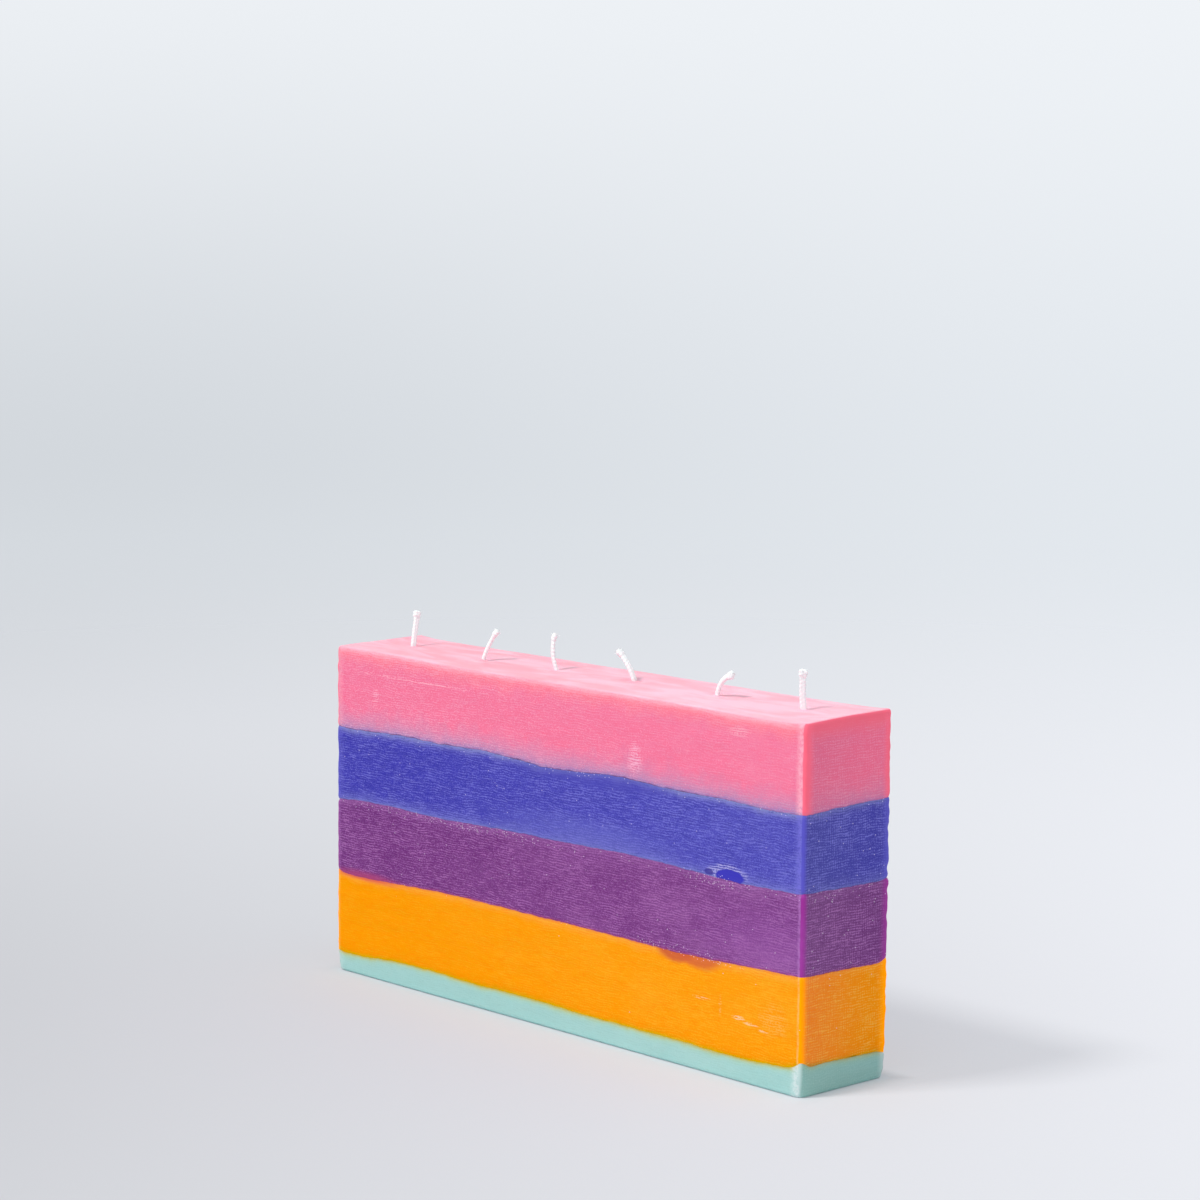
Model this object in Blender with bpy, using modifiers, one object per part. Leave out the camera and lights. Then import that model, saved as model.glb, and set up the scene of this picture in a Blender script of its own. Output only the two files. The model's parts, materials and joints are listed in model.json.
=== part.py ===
"""Long block candle: five poured layers of coloured wax on six waxed cotton wicks, each stood on a metal wick tab.

Metres, +Z up. The origin is the middle of the base. The long front faces -Y and the ends face +X and -X.
"""

import math
from collections import namedtuple

import bmesh
import bpy
from mathutils import Vector

# Block of wax
BLOCK_LENGTH = 0.2344
BLOCK_DEPTH = 0.0402
CORNER_RADIUS = 0.0013
FOOT_RADIUS = 0.0011

# Thickness of each pour, from the base up
MINT_THICKNESS = 0.0084
ORANGE_THICKNESS = 0.0295
PURPLE_THICKNESS = 0.0270
BLUE_THICKNESS = 0.0264
PINK_THICKNESS = 0.0284

# The open top: wax climbs the mould's end walls as it cools, and the mould stood a little low at its front
END_LIP_RISE = 0.0008
END_LIP_REACH = 0.008
REAR_RISE = 0.0004

# A pour line runs aside by this share of the depth as it crosses the block
LINE_SKEW = 0.6

# Wicks
WICK_COUNT = 6
WICK_DIAMETER = 0.0019
WICK_TRIM = 0.0125
WICK_FLARE = 0.0005
WICK_FLARE_LENGTH = 0.0026

# Wick tabs
TAB_DIAMETER = 0.015
TAB_THICKNESS = 0.0003
TAB_RECESS = 0.0004
TAB_CONE_RISE = 0.0006
COLLAR_WALL = 0.0005
COLLAR_HEIGHT = 0.0032
COLLAR_CRIMP_DEPTH = 0.00015
COLLAR_CRIMP_WIDTH = 0.0008

# Gaps that keep neighbouring solids apart
POUR_GAP = 0.0003
WICK_GAP = 0.0003
COLLAR_GAP = 0.00015
TAB_GAP = 0.0003

# How finely the solids are drawn, and how far a cutter runs past what it cuts
GRID_STEP = 0.008
CORNER_SEGMENTS = 4
FOOT_SEGMENTS = 3
ROUND_SEGMENTS = 16
WICK_STEPS = 10
CUTTER_MARGIN = 0.004

Layer = namedtuple("Layer", "name thickness color roughness")
LAYERS = (
    Layer("mint_wax_layer", MINT_THICKNESS, (0.38, 0.68, 0.61), 0.42),
    Layer("orange_wax_layer", ORANGE_THICKNESS, (1.0, 0.34, 0.01), 0.5),
    Layer("purple_wax_layer", PURPLE_THICKNESS, (0.23, 0.045, 0.29), 0.5),
    Layer("blue_wax_layer", BLUE_THICKNESS, (0.07, 0.06, 0.50), 0.5),
    Layer("pink_wax_layer", PINK_THICKNESS, (0.94, 0.18, 0.31), 0.45),
)

# The slow swells of each pour line, then of the open top: height, length, and how far it is shifted towards -X
Swell = namedtuple("Swell", "height length shift")
LINE_SWELLS = (
    (),
    (Swell(0.0010, 0.078, 0.034), Swell(0.0013, 0.090, 0.085), Swell(0.0006, 0.125, 0.059)),
    (Swell(0.0008, 0.105, 0.099), Swell(0.0011, 0.125, 0.056), Swell(0.0004, 0.400, 0.045)),
    (Swell(0.0003, 0.078, 0.045), Swell(0.0004, 0.105, 0.006), Swell(0.0012, 0.400, 0.064)),
    (Swell(0.0005, 0.095, 0.075), Swell(0.0004, 0.056, 0.043)),
    (Swell(0.0005, 0.105, 0.100),),
)

# Each wick, from -X to +X: how far it strayed from the middle of its cell while the wax set, as shares of the
# cell, then a point half way up its free end and its cut tip, from where it leaves the wax, as shares of the trim
Wick = namedtuple("Wick", "drift knee tip")
WICKS = (
    Wick((-0.010, 0.005), (-0.072, 0.128, 0.496), (-0.144, 0.272, 1.008)),
    Wick((0.023, -0.028), (0.120, 0.072, 0.376), (0.368, 0.200, 0.856)),
    Wick((-0.055, 0.026), (-0.152, 0.000, 0.648), (-0.168, 0.096, 1.016)),
    Wick((-0.083, 0.056), (-0.160, -0.024, 0.336), (-0.576, -0.080, 0.800)),
    Wick((-0.069, 0.054), (0.104, -0.008, 0.288), (0.640, -0.064, 0.640)),
    Wick((-0.059, 0.044), (-0.032, -0.016, 0.616), (-0.008, -0.008, 1.048)),
)


def collection(name):
    """A new collection in the scene."""
    made = bpy.data.collections.new(name)
    bpy.context.scene.collection.children.link(made)
    return made


def material(name, color, roughness, metallic=0.0):
    made = bpy.data.materials.new(name)
    made.use_nodes = True
    shader = made.node_tree.nodes["Principled BSDF"]
    shader.inputs["Base Color"].default_value = (*color, 1.0)
    shader.inputs["Roughness"].default_value = roughness
    shader.inputs["Metallic"].default_value = metallic
    made.diffuse_color = (*color, 1.0)
    return made


def add_object(name, data, group):
    made = bpy.data.objects.new(name, data)
    group.objects.link(made)
    return made


def add_cutter(name, data, group):
    """A helper that shapes other objects and isn't part of the candle."""
    made = add_object(name, data, group)
    made.hide_render = True
    made.display_type = "WIRE"
    return made


def mesh_from(bm, name):
    bmesh.ops.recalc_face_normals(bm, faces=bm.faces[:])
    mesh = bpy.data.meshes.new(name)
    bm.to_mesh(mesh)
    bm.free()
    return mesh


def line_level(index):
    """Height of pour line number index, before its swells. The last line is the open top."""
    return sum(layer.thickness for layer in LAYERS[:index])


def line_height(index, x, y):
    """Height of pour line number index over a point of the plan. The top's swells die away to its rear edge."""
    depth_share = y / BLOCK_DEPTH + 0.5
    along = x + LINE_SKEW * depth_share * BLOCK_DEPTH
    swells = sum(
        swell.height * math.sin(2 * math.pi * (along + swell.shift) / swell.length)
        for swell in LINE_SWELLS[index]
    )
    if index < len(LAYERS):
        return line_level(index) + swells
    to_end = max(BLOCK_LENGTH / 2 - abs(x), 0.0)
    lip = END_LIP_RISE * math.exp(-to_end / END_LIP_REACH)
    return line_level(index) + swells * (1 - depth_share) + lip + REAR_RISE * depth_share


def wick_exit(number):
    """Where a wick comes out of the wax: the middle of its cell of the block, moved by its drift."""
    cell = BLOCK_LENGTH / WICK_COUNT
    drift = WICKS[number % len(WICKS)].drift
    x = (number + 0.5 + drift[0]) * cell - BLOCK_LENGTH / 2
    y = drift[1] * cell
    return Vector((x, y, line_height(len(LAYERS), x, y)))


def block_form(group):
    """The inside of the mould: a tall box with rounded upright corners and a rounded foot."""
    height = line_level(len(LAYERS)) + CUTTER_MARGIN
    bm = bmesh.new()
    bmesh.ops.create_cube(bm, size=1.0)
    bmesh.ops.scale(bm, vec=(BLOCK_LENGTH, BLOCK_DEPTH, height), verts=bm.verts[:])
    bmesh.ops.translate(bm, vec=(0, 0, height / 2), verts=bm.verts[:])
    upright = [e for e in bm.edges if abs(e.verts[0].co.z - e.verts[1].co.z) > height / 2]
    bmesh.ops.bevel(
        bm, geom=upright, offset=CORNER_RADIUS, segments=CORNER_SEGMENTS, profile=0.5, affect="EDGES"
    )
    foot = [e for e in bm.edges if max(v.co.z for v in e.verts) < height / 2]
    bmesh.ops.bevel(bm, geom=foot, offset=FOOT_RADIUS, segments=FOOT_SEGMENTS, profile=0.5, affect="EDGES")
    return add_cutter("block_form", mesh_from(bm, "block_form"), group)


def pour_slab(index):
    """Mesh of the wax between two pour lines, wider than the block and with the lines' swells on its faces."""
    length = BLOCK_LENGTH + 2 * CUTTER_MARGIN
    depth = BLOCK_DEPTH + 2 * CUTTER_MARGIN
    bm = bmesh.new()
    bmesh.ops.create_grid(
        bm, x_segments=math.ceil(length / GRID_STEP), y_segments=math.ceil(depth / GRID_STEP), size=0.5
    )
    bmesh.ops.scale(bm, vec=(length, depth, 1.0), verts=bm.verts[:])
    lower = bm.verts[:]
    raised = bmesh.ops.extrude_face_region(bm, geom=bm.faces[:])["geom"]
    upper = [item for item in raised if isinstance(item, bmesh.types.BMVert)]
    top_gap = 0.0 if index + 1 == len(LAYERS) else POUR_GAP / 2
    for vert in lower:
        vert.co.z = line_height(index, vert.co.x, vert.co.y) + POUR_GAP / 2 if index else -CUTTER_MARGIN
    for vert in upper:
        vert.co.z = line_height(index + 1, vert.co.x, vert.co.y) - top_gap
    mesh = mesh_from(bm, LAYERS[index].name)
    mesh.shade_smooth()
    return mesh


def turned_mesh(name, profile, ring):
    """A shape turned round the Z axis from (radius, height) points that run down its outside.

    A ring's outline closes on itself. The outline of any other shape starts and ends on the axis.
    """
    outline = bpy.data.meshes.new(name)
    corners = [(radius, 0.0, height) for radius, height in profile]
    edges = [(i, i + 1) for i in range(len(corners) - 1)]
    if ring:
        edges.append((len(corners) - 1, 0))
    outline.from_pydata(corners, edges, [])
    turned = add_object(name, outline, bpy.context.scene.collection)
    screw = turned.modifiers.new("turn", "SCREW")
    screw.steps = ROUND_SEGMENTS
    screw.render_steps = ROUND_SEGMENTS
    screw.use_merge_vertices = True
    screw.merge_threshold = 0.00001
    graph = bpy.context.evaluated_depsgraph_get()
    mesh = bpy.data.meshes.new_from_object(turned.evaluated_get(graph))
    bpy.data.objects.remove(turned)
    mesh.name = name
    mesh.shade_smooth()
    mesh.set_sharp_from_angle(angle=math.radians(35))
    return mesh


def wick_channels(group):
    """The hole that each wick leaves through every layer."""
    radius = WICK_DIAMETER / 2 + WICK_GAP
    for number in range(WICK_COUNT):
        at = wick_exit(number)
        height = at.z + 2 * CUTTER_MARGIN
        bm = bmesh.new()
        bmesh.ops.create_cone(
            bm, cap_ends=True, segments=ROUND_SEGMENTS, radius1=radius, radius2=radius, depth=height
        )
        channel = add_cutter(f"wick_channel_{number + 1}", mesh_from(bm, "wick_channel"), group)
        channel.location = (at.x, at.y, at.z / 2)


def collar_radius():
    return WICK_DIAMETER / 2 + COLLAR_GAP + COLLAR_WALL


def tab_mesh():
    """The pressed steel wick tab: a disc that rises in a small cone to a collar crimped on the wick."""
    bore = WICK_DIAMETER / 2 + COLLAR_GAP
    collar = collar_radius()
    disc = TAB_DIAMETER / 2
    shoulder = TAB_THICKNESS + TAB_CONE_RISE
    top = TAB_THICKNESS + COLLAR_HEIGHT
    crimp = (shoulder + top) / 2
    profile = (
        (collar, top),
        (collar, crimp + COLLAR_CRIMP_WIDTH / 2),
        (collar - COLLAR_CRIMP_DEPTH, crimp),
        (collar, crimp - COLLAR_CRIMP_WIDTH / 2),
        (collar, shoulder),
        (collar + 2 * TAB_CONE_RISE, TAB_THICKNESS),
        (disc, TAB_THICKNESS),
        (disc, 0.0),
        (collar + 2 * TAB_CONE_RISE - TAB_THICKNESS, 0.0),
        (bore, TAB_CONE_RISE),
        (bore, top),
    )
    return turned_mesh("wick_tab", profile, ring=True)


def tab_pockets(group):
    """The seat that each wick tab leaves in the underside of the lowest layer."""
    collar = collar_radius() + TAB_GAP
    disc = TAB_DIAMETER / 2 + TAB_GAP
    seat = TAB_RECESS + TAB_THICKNESS + TAB_GAP
    top = seat + COLLAR_HEIGHT
    profile = (
        (0.0, top),
        (collar, top),
        (collar, seat + TAB_CONE_RISE),
        (collar + 2 * TAB_CONE_RISE, seat),
        (disc, seat),
        (disc, -CUTTER_MARGIN),
        (0.0, -CUTTER_MARGIN),
    )
    mesh = turned_mesh("tab_pocket", profile, ring=False)
    for number in range(WICK_COUNT):
        at = wick_exit(number)
        pocket = add_cutter(f"tab_pocket_{number + 1}", mesh, group)
        pocket.location = (at.x, at.y, 0.0)


def cut_with(target, name, group):
    cut = target.modifiers.new(name, "BOOLEAN")
    cut.operation = "DIFFERENCE"
    cut.solver = "EXACT"
    cut.operand_type = "COLLECTION"
    cut.collection = group


def wax_layers(group, form, channels, pockets):
    """The five pours, each a slab kept inside the mould's form and holed for the wicks and their tabs."""
    for index, layer in enumerate(LAYERS):
        wax = add_object(layer.name, pour_slab(index), group)
        wax.data.materials.append(material(layer.name, layer.color, layer.roughness))
        mould = wax.modifiers.new("mould", "BOOLEAN")
        mould.operation = "INTERSECT"
        mould.solver = "EXACT"
        mould.object = form
        cut_with(wax, "wick_channels", channels)
        if index == 0:
            cut_with(wax, "tab_pockets", pockets)


def wick_path(wick, start):
    """(point, radius) along a wick, from its tab, straight up the wax, and on through its knee to its cut tip."""
    radius = WICK_DIAMETER / 2
    leave = start + Vector((0, 0, WICK_GAP))
    knee = start + WICK_TRIM * Vector(wick.knee)
    tip = start + WICK_TRIM * Vector(wick.tip)
    below = (knee - leave).length
    at_knee = below / (below + (tip - knee).length)
    pull = (knee - (1 - at_knee) ** 2 * leave - at_knee**2 * tip) / (2 * at_knee * (1 - at_knee))
    path = [(Vector((start.x, start.y, TAB_RECESS)), radius)]
    for step in range(WICK_STEPS + 1):
        t = step / WICK_STEPS
        point = (1 - t) ** 2 * leave + 2 * t * (1 - t) * pull + t**2 * tip
        near_cut = max(0.0, 1 - (tip - point).length / WICK_FLARE_LENGTH)
        path.append((point, radius + WICK_FLARE * near_cut**2))
    return path


def wick_object(number, group, cotton):
    """One waxed cotton wick: upright in the wax, bent where it stands free, its strands spread at the cut."""
    name = f"wick_{number + 1}"
    curve = bpy.data.curves.new(name, "CURVE")
    curve.dimensions = "3D"
    curve.bevel_depth = 1.0
    curve.bevel_resolution = 3
    curve.use_fill_caps = True
    path = wick_path(WICKS[number % len(WICKS)], wick_exit(number))
    spline = curve.splines.new("POLY")
    spline.points.add(len(path) - 1)
    for point, (place, radius) in zip(spline.points, path):
        point.co = (*place, 1.0)
        point.radius = radius
    curve.materials.append(cotton)
    return add_object(name, curve, group)


def main():
    for old in list(bpy.data.objects):
        bpy.data.objects.remove(old)
    candle = collection("block_candle")
    form = block_form(collection("cutters"))
    channels = collection("wick_channels")
    pockets = collection("tab_pockets")
    wick_channels(channels)
    tab_pockets(pockets)
    wax_layers(candle, form, channels, pockets)
    cotton = material("waxed_cotton", (0.90, 0.86, 0.87), 0.6)
    tab = tab_mesh()
    tab.materials.append(material("tinned_steel", (0.62, 0.62, 0.60), 0.32, metallic=1.0))
    for number in range(WICK_COUNT):
        wick_object(number, candle, cotton)
        at = wick_exit(number)
        seated = add_object(f"wick_tab_{number + 1}", tab, candle)
        seated.location = (at.x, at.y, TAB_RECESS)


main()
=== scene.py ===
"""Looks of a long block candle: five poured layers of coloured wax, six waxed wicks and their steel tabs."""

import json
import math
import random
from collections import namedtuple

import bmesh
import bpy
import numpy as np
from mathutils import Matrix, Vector, noise

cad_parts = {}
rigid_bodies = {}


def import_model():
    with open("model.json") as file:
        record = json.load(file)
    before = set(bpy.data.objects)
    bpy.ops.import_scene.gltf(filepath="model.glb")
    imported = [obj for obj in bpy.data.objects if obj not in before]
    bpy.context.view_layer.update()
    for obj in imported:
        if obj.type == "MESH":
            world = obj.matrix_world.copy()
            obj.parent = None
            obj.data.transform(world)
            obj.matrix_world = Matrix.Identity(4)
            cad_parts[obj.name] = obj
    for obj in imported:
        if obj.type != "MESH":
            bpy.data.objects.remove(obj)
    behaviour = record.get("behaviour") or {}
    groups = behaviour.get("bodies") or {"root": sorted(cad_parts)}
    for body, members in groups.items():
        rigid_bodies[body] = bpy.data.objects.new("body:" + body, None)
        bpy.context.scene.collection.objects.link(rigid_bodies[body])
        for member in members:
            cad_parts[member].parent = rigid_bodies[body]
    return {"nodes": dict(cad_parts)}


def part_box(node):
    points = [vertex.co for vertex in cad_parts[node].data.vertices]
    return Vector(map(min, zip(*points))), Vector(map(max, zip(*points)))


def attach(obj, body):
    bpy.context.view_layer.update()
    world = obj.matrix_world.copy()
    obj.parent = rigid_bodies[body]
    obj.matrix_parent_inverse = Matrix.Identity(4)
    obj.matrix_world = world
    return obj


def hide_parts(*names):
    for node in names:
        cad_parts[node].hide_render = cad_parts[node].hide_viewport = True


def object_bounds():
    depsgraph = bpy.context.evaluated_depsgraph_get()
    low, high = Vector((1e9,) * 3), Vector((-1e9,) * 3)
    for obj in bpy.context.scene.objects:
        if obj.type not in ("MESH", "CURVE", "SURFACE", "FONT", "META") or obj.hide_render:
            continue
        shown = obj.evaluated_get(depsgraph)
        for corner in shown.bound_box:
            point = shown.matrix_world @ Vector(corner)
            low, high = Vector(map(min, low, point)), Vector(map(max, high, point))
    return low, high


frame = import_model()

bl_info = {
    "name": "Long Block Candle",
    "version": (1, 0, 0),
    "blender": (4, 5, 0),
    "location": "View3D > Sidebar > Candle",
    "description": "Builds a layered block candle with six wicks on a plain studio floor",
    "category": "Add Mesh",
}

CAD_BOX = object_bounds()
BLOCK_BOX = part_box("pink_wax_layer")
BODY = "root"

# The pours from the base up: CAD node, material slot and thickness
Pour = namedtuple("Pour", "node slot thickness")
POURS = (
    Pour("mint_wax_layer", "mint_wax", 0.0084),
    Pour("orange_wax_layer", "orange_wax", 0.0295),
    Pour("purple_wax_layer", "purple_wax", 0.0270),
    Pour("blue_wax_layer", "blue_wax", 0.0264),
    Pour("pink_wax_layer", "pink_wax", 0.0284),
)
TOP_LINE = len(POURS)

# The slow swells of each pour line, then of the open top: height, length, and shift towards -X
Swell = namedtuple("Swell", "height length shift")
LINE_SWELLS = (
    (),
    (Swell(0.0010, 0.078, 0.034), Swell(0.0013, 0.090, 0.085), Swell(0.0006, 0.125, 0.059)),
    (Swell(0.0008, 0.105, 0.099), Swell(0.0011, 0.125, 0.056), Swell(0.0004, 0.400, 0.045)),
    (Swell(0.0003, 0.078, 0.045), Swell(0.0004, 0.105, 0.006), Swell(0.0012, 0.400, 0.064)),
    (Swell(0.0005, 0.095, 0.075), Swell(0.0004, 0.056, 0.043)),
    (Swell(0.0005, 0.105, 0.100),),
)
LINE_SKEW = 0.6
RIM_SWELL = Swell(0.00042, 0.091, 0.040)
RIM_REAR_RISE = 0.0004
END_LIP_RISE = 0.0008
END_LIP_REACH = 0.008
REAR_RISE = 0.0004

# Small ripples of a pour line: height, and how many noise cells there are to the metre
RIPPLES = ((0.00026, 95), (0.00024, 240), (0.00012, 700))
RIPPLE_STEP = 7.3
# The open top: a slow wave with its noise cells along and across, and a quick ripple
TOP_WAVE = 0.00016
TOP_WAVE_CELLS = (28, 60)
TOP_RIPPLE = 0.00003
TOP_RIPPLE_CELLS = 170

# How far each pour line climbs at the block's upright corners, where the wax clung to the mould: at the
# front and the back of the +X end, then at the front and the back of the -X end
CORNER_CLIMBS = (
    (0.0, 0.0, 0.0, 0.0),
    (0.0020, -0.0006, 0.0008, 0.0004),
    (0.0001, 0.0016, 0.0011, 0.0004),
    (0.0003, 0.0008, -0.0003, 0.0004),
    (0.0, 0.0003, 0.0002, 0.0003),
    (0.0, 0.0, 0.0, 0.0),
)
CORNER_CLIMB_REACH = 0.0030

# How deep the groove at each pour line is along the walls, how deep its notch is at the corners, and the
# noise cells that break the groove up
GROOVES = (0.0, 0.1, 0.8, 0.9, 1.0, 0.0)
NOTCHES = (0.0, 0.3, 0.7, 1.8, 1.0, 0.0)
NOTCH_DEPTH = 2.6
GROOVE_WIDTH = 0.00055
GROOVE_CELLS = 130

# Waves of the walls: height as a share of the wall wave, and noise cells to the metre along and up the wall.
# Chips roughen the upright corners in the same way, the back ones more than the front ones.
WALL_WAVES = ((1.0, 45, 190), (0.5, 120, 420))
CHIP_CELLS = (30, 390)
CHIP_REACH = 0.0022
FRONT_CHIPS = 2.4
BACK_CHIPS = 4.2

# The mould's upright corners open into a wider curve at the foot: radius at the first pour line and the base
FOOT_CORNERS = (0.0014, 0.0034)
FOOT_EASE = 1.5

# The wax climbs a little on each wick and sinks in a ring round it, less and more by turns
DIP_REACH = 0.014
DIP_CLIMB = 0.00035
DIP_CLIMB_WIDTH = 0.0014
DIP_SINKS = (0.00022, 0.00034)
DIP_RING = 0.0026
DIP_RING_WIDTH = 0.0022

# How finely the block is meshed: faces round an upright corner, over the rim and round the foot, then the
# fewest rows of a wall and their height as a share of the mesh step. Edges past the crease angle, in
# degrees, stay sharp.
ARC_STEPS = 6
RIM_STEPS = 6
FOOT_STEPS = 5
FEWEST_ROWS = 6
ROW_STEP = 0.8
CREASE_ANGLE = 50

# Each wick from -X to +X: drift from the middle of its cell as shares of the cell, then its knee and its
# cut tip from where it leaves the wax, as shares of the trim, and the angle that its flat braid's broad
# side is turned to
Wick = namedtuple("Wick", "drift knee tip turn")
WICKS = (
    Wick((-0.010, 0.005), (-0.072, 0.128, 0.496), (-0.144, 0.272, 1.008), 75),
    Wick((0.023, -0.028), (0.120, 0.072, 0.376), (0.368, 0.200, 0.856), -30),
    Wick((-0.055, 0.026), (-0.152, 0.000, 0.648), (-0.168, 0.096, 1.016), -30),
    Wick((-0.083, 0.056), (-0.160, -0.024, 0.336), (-0.576, -0.080, 0.800), 95),
    Wick((-0.069, 0.054), (0.104, -0.008, 0.288), (0.640, -0.064, 0.640), -25),
    Wick((-0.059, 0.044), (-0.032, -0.016, 0.616), (-0.008, -0.008, 1.048), 47),
)
# The gap between a wick and the wax, how far its foot is above the base, the height of its tab's collar,
# and how far under the wax its braid starts
WICK_GAP = 0.0003
TAB_RECESS = 0.0004
COLLAR_END = 0.004
BRAID_START = 0.0016

# How finely a wick is meshed, and its flat braid: half width, half thickness, knuckles, furrow and grain as
# shares of its radius
CURVE_STEPS = 400
BRAID_STEP = 0.00014
BRAID_SIDES = 28
BRAID_WIDE = 1.05
BRAID_FLAT = 0.78
KNUCKLE_HEIGHT = 0.10
KNUCKLE_SLANT = 2.1
FURROW_DEPTH = 0.17
FURROW_WIDTH = 0.30
BRAID_GRAIN = 0.04
BRAID_GRAIN_CELLS = 1500

# The cut end: the crown's rings as shares of its radius, its dome, and the loose cotton ends that stand out
# of it, each with the ranges that it is drawn from
CROWN_RINGS = (0.82, 0.58, 0.30)
CROWN_RISE = 0.0005
CROWN_DOME = 0.00055
CROWN_RAG = 0.00020
FIBRE_COUNT = 26
FIBRE_SEED = 40
FIBRE_SIDES = 5
FIBRE_STEPS = 3
FIBRE_PLACE = (0.25, 0.98)
FIBRE_LEAN = (0.0, 0.9)
FIBRE_LENGTH = (0.0005, 0.0009)
FIBRE_THICKNESS = (0.00006, 0.00010)
FIBRE_ROOT = 0.0003
FIBRE_BEND = 0.00022
FIBRE_TAPER = 0.55
FIBRE_CREST = 0.9

# The seat of a wick tab in the underside: collar and disc radius, seat and collar height, cone, and how far
# the cutter reaches out of the base
POCKET_COLLAR = 0.0019
POCKET_DISC = 0.0078
POCKET_SEAT = 0.0010
POCKET_CONE = 0.0006
POCKET_TOP = 0.0042
POCKET_BELOW = -0.002
POCKET_SIDES = 48

# Finish of each wax, in linear colours. Clear is unscratched wax, which beside the corners is also painted
# light standing in for light shining through the wax. Deep is the hollows of the grain and also painted shade
# that deepens the end faces, haze its scratches and bloom, scuff the pale wax beside a corner, partly wear
# and partly a painted highlight on the rounded corner, and dull painted shade on the end faces. Each bleed is
# a band beside a
# pour line: how deep it runs, its colour and how strong it is. Low bands lie on the line below, high ones
# under the line above. Edge and scuffed are how wide the clear wax and the pale band are at a corner, and
# calm is how strong the grain is at the -X end as a share of the +X end. Streaks is how strong the pale
# scratches of the end faces are. Glow is how strongly the clear corners glow: painted light standing in for
# light shining through the wax.
Bleed = namedtuple("Bleed", "width color strength")
Wax = namedtuple(
    "Wax",
    "clear deep haze scuff dull low high lines specks bloom crevice "
    "roughness gloss edge scuffed glow calm streaks",
)
WAXES = {
    "mint_wax": Wax(
        clear=(0.58, 0.75, 0.73), deep=(0.17, 0.37, 0.30), haze=(0.56, 0.80, 0.77),
        scuff=(0.72, 0.82, 0.82), dull=(0.24, 0.44, 0.38), low=(),
        high=(
            Bleed(0.0034, (0.43, 0.62, 0.42), 0.5), Bleed(0.0018, (0.50, 0.54, 0.22), 0.8),
            Bleed(0.0009, (0.56, 0.47, 0.05), 0.9),
        ),
        lines=0.08, specks=0.0, bloom=0.15, crevice=0.0, roughness=0.36, gloss=0.4,
        edge=0.0008, scuffed=0.0040, glow=0.0, calm=0.8, streaks=0.0,
    ),
    "orange_wax": Wax(
        clear=(1.00, 0.31, 0.0), deep=(1.00, 0.245, 0.003), haze=(0.99, 0.455, 0.030),
        scuff=(1.00, 0.50, 0.14), dull=(0.90, 0.15, 0.085),
        low=(
            Bleed(0.0120, (0.97, 0.32, 0.0), 0.8), Bleed(0.0050, (0.86, 0.28, 0.0), 0.5),
            Bleed(0.0020, (0.72, 0.34, 0.0), 0.9), Bleed(0.0009, (0.62, 0.40, 0.0), 0.9),
        ),
        high=(Bleed(0.0034, (1.00, 0.40, 0.06), 0.6), Bleed(0.0009, (0.78, 0.14, 0.08), 0.7)),
        lines=0.54, specks=0.15, bloom=0.28, crevice=0.0, roughness=0.50, gloss=0.0,
        edge=0.0016, scuffed=0.0010, glow=1.5, calm=0.56, streaks=0.34,
    ),
    "purple_wax": Wax(
        clear=(0.30, 0.012, 0.27), deep=(0.12, 0.006, 0.15), haze=(0.43, 0.165, 0.47),
        scuff=(0.43, 0.165, 0.50), dull=(0.24, 0.095, 0.27),
        low=(Bleed(0.0010, (0.36, 0.022, 0.15), 0.8),),
        high=(Bleed(0.0034, (0.27, 0.08, 0.31), 0.7),),
        lines=0.59, specks=1.0, bloom=0.30, crevice=0.35, roughness=0.46, gloss=0.4,
        edge=0.0013, scuffed=0.0014, glow=0.8, calm=1.22, streaks=0.22,
    ),
    "blue_wax": Wax(
        clear=(0.085, 0.075, 0.50), deep=(0.017, 0.014, 0.29), haze=(0.185, 0.185, 0.64),
        scuff=(0.17, 0.16, 0.66), dull=(0.085, 0.09, 0.34),
        low=(Bleed(0.0050, (0.185, 0.195, 0.58), 0.45), Bleed(0.0014, (0.19, 0.22, 0.58), 0.6)),
        high=(Bleed(0.0036, (0.15, 0.15, 0.50), 0.85), Bleed(0.0020, (0.24, 0.26, 0.56), 0.8)),
        lines=0.84, specks=0.9, bloom=0.07, crevice=0.25, roughness=0.46, gloss=0.4,
        edge=0.0009, scuffed=0.0036, glow=0.6, calm=0.95, streaks=0.0,
    ),
    "pink_wax": Wax(
        clear=(0.98, 0.15, 0.23), deep=(0.90, 0.13, 0.24), haze=(0.97, 0.46, 0.62),
        scuff=(1.00, 0.46, 0.57), dull=(0.66, 0.15, 0.28),
        low=(
            Bleed(0.0100, (0.58, 0.265, 0.455), 0.85), Bleed(0.0045, (0.48, 0.24, 0.45), 0.75),
            Bleed(0.0017, (0.31, 0.21, 0.50), 0.9),
        ),
        high=(Bleed(0.0078, (1.00, 0.25, 0.31), 0.9), Bleed(0.0026, (1.00, 0.40, 0.48), 0.85)),
        lines=0.17, specks=0.0, bloom=0.12, crevice=0.75, roughness=0.44, gloss=0.05,
        edge=0.0026, scuffed=0.0034, glow=0.35, calm=2.1, streaks=0.1,
    ),
}
# The top's colours: partly its frosted skin, partly painted sheen standing in for the bright room reflected
# at a low angle
TOP_SKIN_AND_SHEEN = (0.98, 0.355, 0.45)
TOP_FROST_AND_SHEEN = (1.00, 0.55, 0.68)
CREVICE = (0.10, 0.03, 0.12)
SPECK = (0.88, 0.80, 0.92)
LEAST_GLOW = 0.25

# Where the long front wall is, and how deep a mark on it reaches
WALL = -0.0201
MARK_DEPTH = 0.003

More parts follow.
